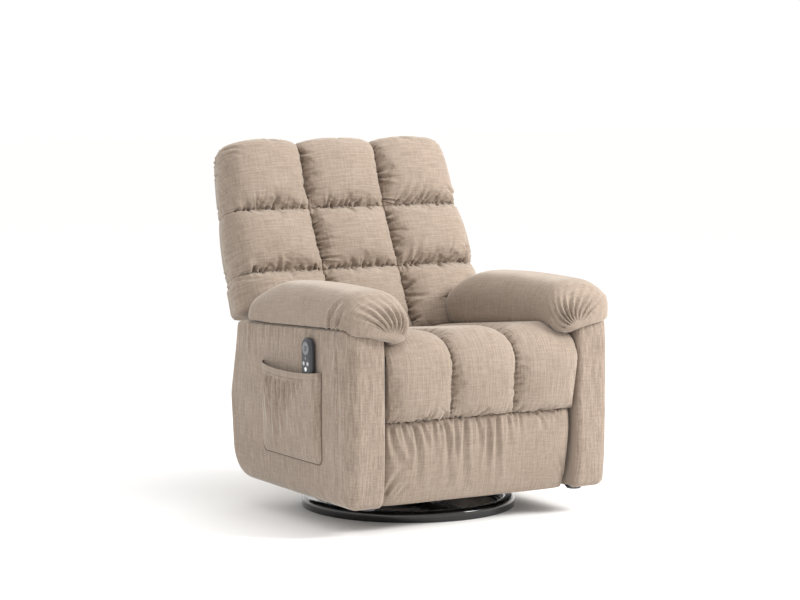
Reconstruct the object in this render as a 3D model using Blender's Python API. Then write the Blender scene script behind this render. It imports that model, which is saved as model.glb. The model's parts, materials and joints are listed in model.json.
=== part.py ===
"""A swivel power recliner with channelled seat, tufted back and pillow arms.

Metres, +Z up. The chair faces -Y, and the pocket with the handset is at -X, the sitter's right.
Most sizes are given as (forward, z): forward is measured from the swivel axis, towards -Y.
"""

import math

import bmesh
import bpy
import numpy as np

# Where the swivel axis stands, so that the whole chair with its pocket is centred on the origin
SWIVEL_X = 0.006
SWIVEL_Y = -0.045

# Widths that set all the others, outwards from the middle: half the seat, the mechanism's lane, an arm
SEAT_HALF_WIDTH = 0.294
LANE_WIDTH = 0.012
ARM_WIDTH = 0.115
ARM_INNER_X = SEAT_HALF_WIDTH + LANE_WIDTH
ARM_OUTER_X = ARM_INNER_X + ARM_WIDTH

# Clearances
SEAT_GAP = 0.0003
RUN_GAP = 0.001
PIN_PLAY = 0.0007
OVERRUN = 0.010

# Swivel base
RING_RADIUS = 0.302
RING_WIDTH = 0.036
RING_HEIGHT = 0.030
RING_EDGE = 0.012
RING_LIP_WIDTH = 0.012
RING_LIP_HEIGHT = 0.009
SPOKE_WIDTH = 0.040
SPOKE_LOW = 0.006
SPOKE_HIGH = 0.026
HUB_RADIUS = 0.075
BEARING_RADIUS = 0.090
BEARING_BORE = 0.045
BEARING_PLATE = 0.004
RACE_RADIUS = 0.064
RACE_SECTION = 0.005

# Arms
ARM_FRONT = 0.385
ARM_REAR = -0.262
ARM_REAR_BELLY = 0.012
ARM_REAR_TOP = -0.240
ARM_FRONT_BOTTOM_Z = 0.085
ARM_REAR_BOTTOM_Z = 0.105
ARM_REAR_TOP_Z = 0.524
ARM_FRONT_TOP_Z = 0.555
ARM_FRONT_ROUND = 0.014
ARM_REAR_ROUND = 0.115
ARM_TOP_ROUND = 0.045
ARM_EDGE_ROUND = 0.034
ARM_CROWN = 0.008
PAD_REAR = -0.165
PAD_FRONT = 0.410
PAD_OVERHANG_IN = 0.050
PAD_HEIGHT = 0.100
PAD_DROP_INSIDE = 0.062
PAD_DROP_OUTSIDE = 0.012
PAD_NOSE_LENGTH = 0.050

# Mechanism lanes between arm and seat, from the arm inwards
PLATE = 0.0035
LINK = 0.003
LINK_HALF_WIDTH = 0.012
PIN_RADIUS = 0.005
PIN_HEAD_RADIUS = 0.0085
PIN_HEAD = 0.0012
TUBE_RADIUS = 0.010
JOURNAL_RADIUS = 0.008

# Joints, as (forward, z)
FOOTREST_PIVOT = (0.375, 0.470)
FOOTREST_ROD_PIVOT = (0.300, 0.245)
FOOTREST_DRIVE_PIVOT = (0.215, 0.335)
RECLINE_PIVOT = (-0.200, 0.420)
RECLINE_ROD_PIVOT = (-0.210, 0.320)
RECLINE_DRIVE_PIVOT = (0.000, 0.372)
FOOTREST_SWING = math.radians(85)
RECLINE_SWING = math.radians(42)

# Chassis
SIDE_RAIL_FRONT = 0.112
SIDE_RAIL_REAR = -0.110
SIDE_RAIL_HEIGHT = 0.028
SIDE_RAIL_LEG = 0.040
CROSS_MEMBER_FORWARD = 0.080
CROSS_MEMBER_WIDTH = 0.040
CROSS_MEMBER_HEIGHT = 0.030
CROSS_MEMBER_ROUND = 0.006
MOTOR_TUBE_FORWARD = -0.125
MOTOR_TUBE_Z = 0.260
MOTOR_TUBE_SIDE = 0.020
GLIDE_RADIUS = 0.024
GLIDE_HEIGHT = 0.019
# Places of the glides: outwards from the arm's inner face, and forward
GLIDE_PLACES = {"front": (0.026, 0.342), "rear": (0.056, -0.100)}

# Seat and its frame
CUSHION_BASE_Z = 0.397
SEAT_REAR = -0.160
SEAT_REAR_Z = 0.452
SEAT_FRONT_TOP = 0.325
SEAT_FRONT_Z = 0.504
NOSE_FRONT = 0.398
CHANNEL_SEAM_X = 0.100
CHANNEL_CROWN = 0.022
CUSHION_SIDE_DRAW = 0.020
SEAM_ARC = 0.052
SEAM_OPENING = 0.004
RAIL_HEIGHT = 0.038
RAIL_DEPTH = 0.036
FRONT_RAIL_FORWARD = 0.256
REAR_RAIL_FORWARD = -0.128
SPRING_WIRE = 0.0036
SPRING_AMPLITUDE = 0.024
SPRING_WAVES = 6
SPRING_PITCH = 0.128
SPRING_COUNT = 4

# Footrest
FOOTREST_SEAM_Z = 0.300
FOOTREST_BOTTOM_Z = 0.083
FOOTREST_FACE = 0.396
FOOTREST_SEAM_FORWARD = 0.376
BOARD_BACK = 0.3025
BOARD_THICK = 0.011
BOARD_INSET = 0.010
BOARD_LOW_Z = 0.100
BOARD_HIGH_Z = 0.414
FLANGE_REACH = 0.050
FLANGE_LOW_Z = 0.170

# Back: a straight frame plane, which starts here and leans back
BACK_FOOT = (-0.245, 0.420)
BACK_LEAN = math.radians(21)
BACK_FRAME_THICK = 0.030
BACK_FRAME_LENGTH = 0.580
BACK_RAIL = 0.042
BACK_SIDE_PLAY = 0.0105
BACK_NARROW = ARM_INNER_X - BACK_SIDE_PLAY
BACK_WING = 0.086
BACK_WIDE = ARM_INNER_X + BACK_WING
BACK_TOP_DRAW = 0.035
BACK_WING_START = 0.124
BACK_LENGTH = 0.634
BACK_CUSHION_START = 0.018
COLUMN_SEAM_X = 0.125
ROW_SEAMS = (0.225, 0.415)
BACK_SEAM_DEPTHS = (0.086, 0.069, 0.051, 0.056)
TUFT_CROWN = 0.036
COVER_THICK = 0.022
COVER_CROWN = 0.010
TUCK_RADIUS = 0.100
TUCK_THICK = 0.005
TUCK_START = math.radians(232)
TUCK_END = math.radians(192)
BRACKET_TOP = 0.300
BRACKET_BEHIND = 0.015

# Rear apron and inlet
APRON_TOP_Z = 0.312
APRON_THICK = 0.011
INLET_X = 0.150
INLET_Z = 0.250
INLET_RADIUS = 0.012
INLET_DEPTH = 0.006
INLET_BORE = 0.006

# Actuators, beside each other, with their rods pointing forward
ACTUATOR_X = 0.062
ACTUATOR_TUBE_RADIUS = 0.018
ACTUATOR_BORE = 0.0087
ROD_RADIUS = 0.008
CRANK_LENGTH = 0.080
CRANK_THICK = 0.005
CRANK_HALF_WIDTH = 0.010
CRANK_PIN_RADIUS = 0.004
YOKE_THICK = 0.006
YOKE_PLAY = 0.0028
YOKE_WALL = 0.007
FOOTREST_TUBE_LENGTH = 0.190
RECLINE_TUBE_LENGTH = 0.116
GEARBOX_LENGTH = 0.044
GEARBOX_HEIGHT = 0.046
GEARBOX_WIDTH = 0.050
GEARBOX_ROUND = 0.008
MOTOR_RADIUS = 0.019
MOTOR_LENGTH = 0.088
EAR_THICK = 0.012

# Pocket and handset, on the right arm's outer face
POCKET_FRONT = 0.252
POCKET_REAR = -0.076
POCKET_BOTTOM_Z = 0.182
POCKET_TOP_Z = 0.430
POCKET_SAG = 0.012
POCKET_WALL = 0.0022
POCKET_DEPTH_TOP = 0.0190
POCKET_DEPTH_BOTTOM = 0.009
POCKET_KNEE_Z = 0.340
POCKET_ROUND = 0.022
HANDSET_FORWARD = 0.197
HANDSET_WIDTH = 0.054
HANDSET_LENGTH = 0.170
HANDSET_TOP_Z = 0.518
HANDSET_BACK = 0.0115
HANDSET_FACE = 0.0040
KEY_RISE = 0.0012
KEY_TRAVEL = 0.0010
KEY_PLAY = 0.0004
# Keys as shares of the handset's width (across), its length (down from the top) and its width (radius)
KEY_SHARES = {
    "key_pad": (0.0, 0.17, 0.330),
    "key_centre": (0.0, 0.17, 0.130),
    "key_heat": (0.0, 0.325, 0.085),
    "key_back_up": (-0.2, 0.41, 0.105),
    "key_back_down": (0.2, 0.41, 0.105),
    "key_power": (0.0, 0.50, 0.115),
    "key_foot_up": (-0.26, 0.60, 0.095),
    "key_foot_down": (0.26, 0.60, 0.095),
    "key_mode": (0.0, 0.65, 0.095),
}

# Facets
ROUND_SIDES = 12
TUBE_SIDES = 16
RING_SIDES = 44
ARC_STEPS = 5

SIDES = {"right": -1, "left": 1}
FORWARD = np.array((0.0, -1.0, 0.0))
ACROSS = np.array((1.0, 0.0, 0.0))
UP = np.array((0.0, 0.0, 1.0))

# Places that follow from the sizes above
LANE_PLATE = (ARM_INNER_X - SEAT_GAP - PLATE, ARM_INNER_X - SEAT_GAP)
LANE_OUTER = (LANE_PLATE[0] - RUN_GAP - LINK, LANE_PLATE[0] - RUN_GAP)
LANE_INNER = (LANE_OUTER[0] - RUN_GAP - LINK, LANE_OUTER[0] - RUN_GAP)
SPAN = LANE_PLATE[0] - SEAT_GAP
BEARING_LOW_Z = SPOKE_HIGH
BEARING_HIGH_Z = BEARING_LOW_Z + BEARING_PLATE + SEAT_GAP + 2 * RACE_SECTION + SEAT_GAP
CROSS_MEMBER_Z = BEARING_HIGH_Z + BEARING_PLATE + SEAT_GAP
RAIL_Z = CROSS_MEMBER_Z + CROSS_MEMBER_HEIGHT + SEAT_GAP
SWING_LINK = np.subtract(FOOTREST_ROD_PIVOT, FOOTREST_PIVOT)
FOOTREST_CRANK_PIVOT = tuple(np.add(FOOTREST_DRIVE_PIVOT, SWING_LINK))
RECLINE_LINK = np.subtract(RECLINE_ROD_PIVOT, RECLINE_PIVOT)
RECLINE_CRANK_PIVOT = tuple(np.add(RECLINE_DRIVE_PIVOT, RECLINE_LINK))
BACK_ALONG = np.array((-math.sin(BACK_LEAN), math.cos(BACK_LEAN)))
BACK_OUT = np.array((math.cos(BACK_LEAN), math.sin(BACK_LEAN)))


# Small geometry helpers


def place(x, forward, z):
    """World point of a place given across and forward of the swivel axis, and up."""
    return np.array((SWIVEL_X + x, SWIVEL_Y - forward, z))


def lift(outline, x):
    """World points of an outline drawn as (forward, z), at one x."""
    outline = np.asarray(outline, float)
    across = np.full(len(outline), SWIVEL_X + x)
    return np.stack([across, SWIVEL_Y - outline[:, 0], outline[:, 1]], axis=1)


def unit(vector):
    return np.asarray(vector, float) / np.linalg.norm(vector)


def turned_by(vector, angle):
    """A (forward, z) vector turned from forward towards up."""
    c, s = math.cos(angle), math.sin(angle)
    return np.array((c * vector[0] - s * vector[1], s * vector[0] + c * vector[1]))


def rounded(corners, radii, steps=ARC_STEPS):
    """Polygon whose corners are arcs, each of its own radius."""
    points = []
    for i, (corner, radius) in enumerate(zip(corners, radii)):
        corner = np.array(corner, float)
        if not radius:
            points.append(corner)
            continue
        before = unit(np.array(corners[i - 1]) - corner)
        after = unit(np.array(corners[(i + 1) % len(corners)]) - corner)
        half = math.acos(np.clip(before @ after, -1, 1)) / 2
        centre = corner + unit(before + after) * radius / math.sin(half)
        start = corner + before * radius / math.tan(half) - centre
        end = corner + after * radius / math.tan(half) - centre
        sweep = math.atan2(start[0] * end[1] - start[1] * end[0], start @ end)
        points += [centre + turned_by(start, sweep * k / steps) for k in range(steps + 1)]
    return np.array(points)


def circle(centre, radius, sides=ROUND_SIDES):
    angles = 2 * np.pi * (np.arange(sides) + 0.5) / sides
    return np.stack([centre[0] + radius * np.cos(angles), centre[1] + radius * np.sin(angles)], axis=1)


def strap(path, half_width, steps=ARC_STEPS):
    """Outline of a flat bar of constant width along a path, with round ends and mitred bends."""
    path = [np.array(p, float) for p in path]
    heads = [unit(b - a) for a, b in zip(path, path[1:])]
    normals = [turned_by(h, math.pi / 2) for h in heads]
    bends = [unit(a + b) / (unit(a + b) @ a) for a, b in zip(normals, normals[1:])]
    side = [p + half_width * n for p, n in zip(path[1:-1], bends)]
    other = [p - half_width * n for p, n in zip(path[1:-1], bends)]
    far = [path[-1] + half_width * turned_by(normals[-1], -math.pi * k / steps) for k in range(steps + 1)]
    near = [path[0] - half_width * turned_by(normals[0], -math.pi * k / steps) for k in range(steps + 1)]
    return np.array(side + far + other[::-1] + near)


def loft(rings):
    """Closed body through rings of equal length: quads between them and a cap at each end."""
    rings = np.asarray(rings, float)
    n, m, _ = rings.shape
    at = np.arange(n * m).reshape(n, m)
    a, b = at[:-1], at[1:]
    quads = np.stack([a, np.roll(a, -1, 1), np.roll(b, -1, 1), b], axis=-1).reshape(-1, 4)
    return rings.reshape(-1, 3), quads.tolist() + [at[0, ::-1].tolist(), at[-1].tolist()]


def hoop(rings):
    """Closed body through rings that come back to the first, such as a ring with a bore."""
    rings = np.asarray(rings, float)
    n, m, _ = rings.shape
    at = np.arange(n * m).reshape(n, m)
    b = np.roll(at, -1, 0)
    quads = np.stack([at, np.roll(at, -1, 1), np.roll(b, -1, 1), b], axis=-1).reshape(-1, 4)
    return rings.reshape(-1, 3), quads.tolist()


def turned(profile, centre, axis, sides):
    """Rings of a profile of (radius, along) turned about an axis, one ring for each profile point."""
    first = UP if abs(axis @ UP) < 0.5 else ACROSS
    second = np.cross(axis, first)
    angles = 2 * np.pi * (np.arange(sides) + 0.5) / sides
    spokes = np.outer(np.cos(angles), first) + np.outer(np.sin(angles), second)
    return np.array([centre + along * axis + radius * spokes for radius, along in profile])


def extruded(outline, x_low, x_high, holes=()):
    """Flat plate with holes: an outline in (forward, z), extruded across."""
    loops = [np.asarray(loop, float) for loop in (outline, *holes)]
    flat = bmesh.new()
    for loop in loops:
        corners = [flat.verts.new((p[0], p[1], 0)) for p in loop]
        for a, b in zip(corners, corners[1:] + corners[:1]):
            flat.edges.new((a, b))
    flat.verts.index_update()
    bmesh.ops.triangle_fill(flat, use_beauty=True, edges=flat.edges[:])
    caps = [[v.index for v in face.verts] for face in flat.faces]
    flat.free()
    drawn = np.concatenate(loops)
    count = len(drawn)
    points = np.concatenate([lift(drawn, x_low), lift(drawn, x_high)])
    faces = [cap[::-1] for cap in caps] + [[i + count for i in cap] for cap in caps]
    start = 0
    for loop in loops:
        near = np.arange(start, start + len(loop))
        far = np.roll(near, -1)
        faces += np.stack([near, far, far + count, near + count], axis=1).tolist()
        start += len(loop)
    return points, faces


def box(low, high):
    """Plain block between two world corners."""
    low, high = np.minimum(low, high), np.maximum(low, high)
    ring = np.array([(low[0], low[1]), (high[0], low[1]), (high[0], high[1]), (low[0], high[1])])
    return loft([np.column_stack([ring, np.full(4, z)]) for z in (low[2], high[2])])


def crown(t, power=0.45):
    """Height of a stuffed swell between two seams, t from -1 to 1."""
    return np.clip(1 - np.asarray(t) ** 2, 0, 1) ** power


def between_seams(values, seams):
    """Where each value lies between the seams on either side of it, from -1 to 1."""
    seams = np.asarray(seams, float)
    cell = np.clip(np.searchsorted(seams, values, side="right") - 1, 0, len(seams) - 2)
    return 2 * (values - seams[cell]) / (seams[cell + 1] - seams[cell]) - 1


def seam_stations(seams, steps):
    """Stations that run through every seam and gather near it."""
    share = (1 - np.cos(np.pi * np.arange(steps) / steps)) / 2
    inner = [a + (b - a) * share for a, b in zip(seams, seams[1:])]
    return np.append(np.concatenate(inner), seams[-1])


# Scene helpers


def clear_scene():
    for thing in list(bpy.data.objects):
        bpy.data.objects.remove(thing, do_unlink=True)


def finish(name, colour, roughness, metallic=0.0):
    """Principled material; a finish that exists already is used again."""
    made = bpy.data.materials.get(name)
    if made:
        return made
    made = bpy.data.materials.new(name)
    made.use_nodes = True
    shader = made.node_tree.nodes["Principled BSDF"]
    shader.inputs["Base Color"].default_value = (*colour, 1.0)
    shader.inputs["Roughness"].default_value = roughness
    shader.inputs["Metallic"].default_value = metallic
    return made


def upholstery():
    return finish("upholstery_chenille", (0.50, 0.40, 0.31), 0.9)


def black_paint():
    return finish("black_paint", (0.010, 0.010, 0.011), 0.22, 0.4)


def dark_steel():
    return finish("dark_steel", (0.055, 0.055, 0.06), 0.45, 0.8)


def zinc_steel():
    return finish("zinc_steel", (0.55, 0.55, 0.56), 0.35, 0.9)


def plywood():
    return finish("plywood", (0.55, 0.40, 0.24), 0.7)


def black_plastic():
    return finish("black_plastic", (0.022, 0.022, 0.025), 0.5)


def key_white():
    return finish("key_white", (0.75, 0.76, 0.78), 0.4)


class Body:
    """An empty on a joint's axis, which carries every piece that moves with that joint."""

    def __init__(self, name, at, parent=None):
        self.at = np.asarray(at, float)
        self.empty = bpy.data.objects.new("axis_" + name, None)
        bpy.context.scene.collection.objects.link(self.empty)
        self.empty.parent = parent.empty if parent else None
        self.empty.location = self.at - (parent.at if parent else 0)

    def add(self, name, shape, look):
        """One sub-part, its mesh held relative to the joint's axis."""
        points, faces = shape
        mesh = bpy.data.meshes.new(name)
        mesh.from_pydata((np.asarray(points) - self.at).tolist(), [], faces)
        work = bmesh.new()
        work.from_mesh(mesh)
        bmesh.ops.recalc_face_normals(work, faces=work.faces)
        work.to_mesh(mesh)
        work.free()
        mesh.shade_smooth()
        mesh.set_sharp_from_angle(angle=math.radians(35))
        mesh.materials.append(look)
        made = bpy.data.objects.new(name, mesh)
        bpy.context.scene.collection.objects.link(made)
        made.parent = self.empty
        return made

    def combine(self, target, shape, operation):
        """Adds a body to the target or cuts it away, with an exact Boolean."""
        count = len(target.modifiers) + 1
        helper = self.add(f"{operation.lower()}_{count}_{target.name}", shape, target.data.materials[0])
        helper.hide_render = True
        helper.display_type = "WIRE"
        step = target.modifiers.new(helper.name, "BOOLEAN")
        step.operation = operation
        step.object = helper
        return target


# Swivel base


def base_ring(base):
    """Pressed ring with a flat underside, a rounded rim and a low lip inside."""
    inner = RING_RADIUS - RING_WIDTH
    lip = inner - RING_LIP_WIDTH
    corners = [(lip, 0), (RING_RADIUS, 0), (RING_RADIUS, RING_HEIGHT), (inner, RING_HEIGHT),
               (inner, RING_LIP_HEIGHT), (lip, RING_LIP_HEIGHT)]
    section = rounded(corners, (0, 0, RING_EDGE, RING_EDGE, 0, 0), steps=3)
    rings = turned(section, place(0, 0, 0), UP, RING_SIDES).transpose(1, 0, 2)
    return base.add("base_ring", hoop(rings), black_paint())


def base_spider(base):
    """Four spokes inside the ring's bore, welded under the round lower plate of the swivel bearing."""
    half = SPOKE_WIDTH / 2
    end = (RING_RADIUS - RING_WIDTH - RING_LIP_WIDTH) * math.cos(math.pi / RING_SIDES) - 2 * SEAT_GAP
    crotch = math.sqrt(HUB_RADIUS**2 - half**2)
    start, stop = math.atan2(half, crotch), math.atan2(crotch, half)
    corner = [(end, -half), (end, half), (crotch, half)]
    bends = np.linspace(start, stop, 5)[1:-1]
    corner += [(HUB_RADIUS * math.cos(a), HUB_RADIUS * math.sin(a)) for a in bends]
    corner += [(half, crotch)]
    outline = np.array([turned_by(p, math.pi / 2 * quarter) for quarter in range(4) for p in corner])
    rings = [[place(x, forward, z) for x, forward in outline] for z in (SPOKE_LOW, SPOKE_HIGH)]
    spider = base.add("base_spider", loft(rings), black_paint())
    edge = [(BEARING_RADIUS, BEARING_LOW_Z - BEARING_PLATE / 2),
            (BEARING_RADIUS, BEARING_LOW_Z + BEARING_PLATE)]
    disc = loft(turned(edge, place(0, 0, 0), UP, 2 * ROUND_SIDES))
    return base.combine(spider, disc, "UNION")


def bearing_plate(body, name, low_z):
    """Flat ring that carries the chassis on the ball race."""
    section = [(BEARING_BORE, 0), (BEARING_RADIUS, 0), (BEARING_RADIUS, BEARING_PLATE),
               (BEARING_BORE, BEARING_PLATE)]
    rings = turned(section, place(0, 0, low_z), UP, 2 * ROUND_SIDES).transpose(1, 0, 2)
    return body.add(name, hoop(rings), zinc_steel())


def bearing_race(body):
    """The ball race between the two plates, as one ring of round section."""
    middle = BEARING_LOW_Z + BEARING_PLATE + SEAT_GAP + RACE_SECTION
    section = circle((RACE_RADIUS, 0), RACE_SECTION / math.cos(math.pi / 8), 8)
    rings = turned(section, place(0, 0, middle), UP, 2 * ROUND_SIDES).transpose(1, 0, 2)
    return body.add("bearing_race", hoop(rings), zinc_steel())


# Chassis and mechanism plates


def cross_member(chassis, name, forward):
    """Rounded box tube that lies across the bearing plate."""
    half = CROSS_MEMBER_WIDTH / 2
    low, high = CROSS_MEMBER_Z, CROSS_MEMBER_Z + CROSS_MEMBER_HEIGHT
    corners = [(forward - half, low), (forward + half, low), (forward + half, high), (forward - half, high)]
    outline = rounded(corners, [CROSS_MEMBER_ROUND] * 4, steps=2)
    return chassis.add(name, extruded(outline, -SPAN, SPAN), dark_steel())


def side_plate(chassis, name, side):
    """Stamped plate bolted inside an arm: all the pivots of its side, on a foot turned inwards."""
    fp, rp, dp, up = FOOTREST_PIVOT, RECLINE_PIVOT, FOOTREST_DRIVE_PIVOT, RECLINE_DRIVE_PIVOT
    ear = PIN_HEAD_RADIUS + PIN_RADIUS
    belly = dp[1] - 3 * ear
    foot = RAIL_Z + PLATE / 2
    corners = [
        (SIDE_RAIL_REAR, foot), (SIDE_RAIL_FRONT, foot),
        (dp[0] + ear, belly), (dp[0] + 3 * ear, dp[1] + ear),
        (fp[0] + ear, fp[1] - ear), (fp[0] + ear / 2, fp[1] + ear), (fp[0] - 2 * ear, fp[1] + ear / 2),
        (dp[0] + ear, up[1] + 2 * ear), (up[0], up[1] + ear), (rp[0] + 3 * ear, rp[1] - ear / 2),
        (rp[0] + ear, rp[1] + ear), (rp[0] - ear, rp[1] + ear), (rp[0] - ear, rp[1] - 2 * ear),
        (rp[0] + ear, belly - ear),
    ]
    radii = [ear * share for share in (1, 1, 3, 3, 1, 1, 1, 5, 5, 3, 1, 1, 2, 5)]
    shaft = JOURNAL_RADIUS + PIN_PLAY
    low = RAIL_Z + SIDE_RAIL_HEIGHT
    window = [(up[0] - 6 * ear, up[1] - 2 * ear), (up[0] - 6 * ear, low + 2 * ear),
              (up[0] + 2 * ear, low + 2 * ear), (dp[0] - 4 * ear, dp[1] - 3 * ear),
              (dp[0] - 4 * ear, dp[1] - ear), (up[0] + 2 * ear, up[1] - 2 * ear)]
    middle = np.array((up[0] - 2 * ear, up[1] - 7 * ear))
    slots = [
        circle(dp, shaft), circle(up, shaft),
        rounded([middle + (-ear, 2 * ear), middle + (-ear, -2 * ear),
                 middle + (ear, -2 * ear), middle + (ear, 2 * ear)],
                [ear / 2] * 4, steps=2),
        rounded([window[3] + np.array((-3 * ear, -2 * ear)), window[3] + np.array((0, -2 * ear)),
                 window[3] + np.array((0, ear)), window[3] + np.array((-3 * ear, ear))],
                [ear / 2] * 4, steps=2),
    ]
    outline = rounded(corners, radii, steps=3)
    blank = extruded(outline, side * LANE_PLATE[0], side * LANE_PLATE[1], slots)
    plate = chassis.add(name, blank, dark_steel())
    pins = [pivot_pin(pivot, side, LANE_PLATE, LANE_OUTER) for pivot in (fp, rp)]
    leg = box(place(side * (LANE_PLATE[0] - SIDE_RAIL_LEG), SIDE_RAIL_REAR + ear, RAIL_Z),
              place(side * sum(LANE_PLATE) / 2, SIDE_RAIL_FRONT - ear, RAIL_Z + PLATE))
    return chassis.combine(plate, merged([*pins, leg]), "UNION")


def pivot_pin(pivot, side, own_lane, other_lane):
    """Headed pin that grows from the middle of its own plate, through the plate beside it, inwards."""
    root = sum(own_lane) / 2
    neck = other_lane[0] - SEAT_GAP
    profile = [(PIN_RADIUS, root), (PIN_RADIUS, neck), (PIN_HEAD_RADIUS, neck),
               (PIN_HEAD_RADIUS, neck - PIN_HEAD)]
    return loft(turned(profile, place(0, *pivot), side * ACROSS, ROUND_SIDES))


def merged(shapes):
    """Several closed bodies as the points and faces of one mesh."""
    points, faces, count = [], [], 0
    for corners, sides in shapes:
        points.append(corners)
        faces += [[i + count for i in face] for face in sides]
        count += len(corners)
    return np.concatenate(points), faces


def link(body, name, side, ends, lane, holes):
    """Flat link with round ends; holes are (place, radius)."""
    shape = extruded(strap(ends, LINK_HALF_WIDTH), side * lane[0], side * lane[1],
                     [circle(at, radius) for at, radius in holes])
    return body.add(name, shape, dark_steel())


def motor_cross_tube(chassis):
    half = MOTOR_TUBE_SIDE / 2
    f, z = MOTOR_TUBE_FORWARD, MOTOR_TUBE_Z
    corners = [(f - half, z - half), (f + half, z - half), (f + half, z + half), (f - half, z + half)]
    outline = rounded(corners, [half / 4] * 4, steps=1)
    return chassis.add("motor_cross_tube", extruded(outline, -SPAN, SPAN), dark_steel())


def floor_glide(chassis, name, side, end):
    """Turned glide under an arm: a stem boss on a wider foot."""
    offset, forward = GLIDE_PLACES[end]
    x = ARM_INNER_X + offset
    low_share, high_share = (0.70, 0.45)
    top = arm_underside(forward) - SEAT_GAP
    profile = [(GLIDE_RADIUS * 0.8, -GLIDE_HEIGHT), (GLIDE_RADIUS, -GLIDE_HEIGHT * low_share),
               (GLIDE_RADIUS, -GLIDE_HEIGHT * high_share),
               (GLIDE_RADIUS / 2, -GLIDE_HEIGHT * high_share / 2), (GLIDE_RADIUS / 2, 0)]
    foot = turned(profile, place(side * x, forward, top), UP, TUBE_SIDES)
    return chassis.add(name, loft(foot), black_plastic())


def arm_underside(forward):
    """Lowest height of an arm where a foot of the glide's radius touches it."""
    slope = (ARM_REAR_BOTTOM_Z - ARM_FRONT_BOTTOM_Z) / (ARM_FRONT - ARM_REAR)
    return ARM_FRONT_BOTTOM_Z + slope * (ARM_FRONT - forward - GLIDE_RADIUS / 2)


def seat_rail(chassis, name, forward):
    top = CUSHION_BASE_Z - SPRING_WIRE - 2 * SEAT_GAP
    low = place(-SPAN, forward, top - RAIL_HEIGHT)
    return chassis.add(name, box(low, place(SPAN, forward + RAIL_DEPTH, top)), plywood())


def sinuous_spring(x):
    """One sinuous spring laid from rail to rail, as a wire of square section."""
    start, end = REAR_RAIL_FORWARD + RAIL_DEPTH / 2, FRONT_RAIL_FORWARD + RAIL_DEPTH / 2
    steps = SPRING_WAVES * 6
    t = np.arange(steps + 1) / steps
    forward = start + (end - start) * t
    swing = SPRING_AMPLITUDE * np.sin(2 * np.pi * SPRING_WAVES * t)
    slope = np.gradient(swing, forward)
    lean = 1 / np.sqrt(1 + slope**2)
    half = SPRING_WIRE / 2
    z = CUSHION_BASE_Z - SEAT_GAP - half
    rings = []
    for f, s, g, n in zip(forward, x + swing, slope, lean):
        sideways = half * np.array((n, n * g, 0))
        corners = ((-1, 0), (0, -1), (1, 0), (0, 1))
        rings.append([place(s, f, z) + a * sideways + b * half * UP for a, b in corners])
    return loft(rings)


def seat_springs(chassis):
    """The seat's suspension: sinuous springs side by side, held at their pitch by two tie wires."""
    first = -SPRING_PITCH * (SPRING_COUNT - 1) / 2
    places = [first + SPRING_PITCH * k for k in range(SPRING_COUNT)]
    springs = chassis.add("seat_springs", merged([sinuous_spring(x) for x in places]), zinc_steel())
    reach = places[-1] + SPRING_AMPLITUDE + SPRING_WIRE
    middle = (REAR_RAIL_FORWARD + FRONT_RAIL_FORWARD + RAIL_DEPTH) / 2
    z = CUSHION_BASE_Z - SEAT_GAP - SPRING_WIRE * 0.55
    wire = [(SPRING_WIRE * 0.4, -reach), (SPRING_WIRE * 0.4, reach)]
    ties = [loft(turned(wire, place(0, middle + offset, z), ACROSS, 6))
            for offset in (-RAIL_DEPTH * 1.5, RAIL_DEPTH * 1.5)]
    return chassis.combine(springs, merged(ties), "UNION")


# Seat, arms and footrest upholstery


def side_draw(x):
    """How far a cushion's surface draws in near its sides, from 0 in the middle to 1 at the edge."""
    return 1 - (1 - np.abs(x / SEAT_HALF_WIDTH) ** 10) ** 0.5


def channel_swell(x):
    seams = (-SEAT_HALF_WIDTH, -CHANNEL_SEAM_X, CHANNEL_SEAM_X, SEAT_HALF_WIDTH)
    return crown(between_seams(x, seams)) * CHANNEL_CROWN - side_draw(x) * CUSHION_SIDE_DRAW


def channel_stations():
    return seam_stations((-SEAT_HALF_WIDTH, -CHANNEL_SEAM_X, CHANNEL_SEAM_X, SEAT_HALF_WIDTH), 7)


def seat_cushion(chassis):
    """Three channels that run forward and roll over the nose, down to the joint line of the footrest."""
    pf, pz = FOOTREST_PIVOT
    arc_top = SEAT_FRONT_Z - (NOSE_FRONT - SEAT_FRONT_TOP)
    rings = []
    for x in channel_stations():
        swell = channel_swell(x)
        front = NOSE_FRONT + swell / 2
        radius = front - SEAT_FRONT_TOP
        top = [(SEAT_REAR + CUSHION_SIDE_DRAW * (1 - k), SEAT_REAR_Z + swell * k) for k in (0.0, 0.5)]
        top += [(SEAT_REAR + (SEAT_FRONT_TOP - SEAT_REAR) * t,
                 SEAT_REAR_Z + (SEAT_FRONT_Z - SEAT_REAR_Z) * t + swell) for t in np.linspace(0.12, 1, 5)]
        rise = SEAT_FRONT_Z + swell - arc_top
        nose = [(SEAT_FRONT_TOP + radius * math.sin(a), arc_top + rise * math.cos(a))
                for a in np.linspace(0, math.pi / 2, 7)[1:]]
        reach = min(front - pf, SEAM_ARC * 0.9)
        sweep = math.asin(reach / SEAM_ARC)
        under = [(pf + SEAM_ARC * math.sin(a), pz - SEAM_ARC * math.cos(a))
                 for a in np.linspace(sweep, 0, 4)]
        hollow = [(FRONT_RAIL_FORWARD + RAIL_DEPTH + SEAM_OPENING, pz - SEAM_ARC),
                  (FRONT_RAIL_FORWARD + RAIL_DEPTH, CUSHION_BASE_Z),
                  (SEAT_REAR + CUSHION_SIDE_DRAW, CUSHION_BASE_Z)]
        rings.append(lift(top + nose + under + hollow, x))
    return chassis.add("seat_cushion", loft(rings), upholstery())


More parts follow.
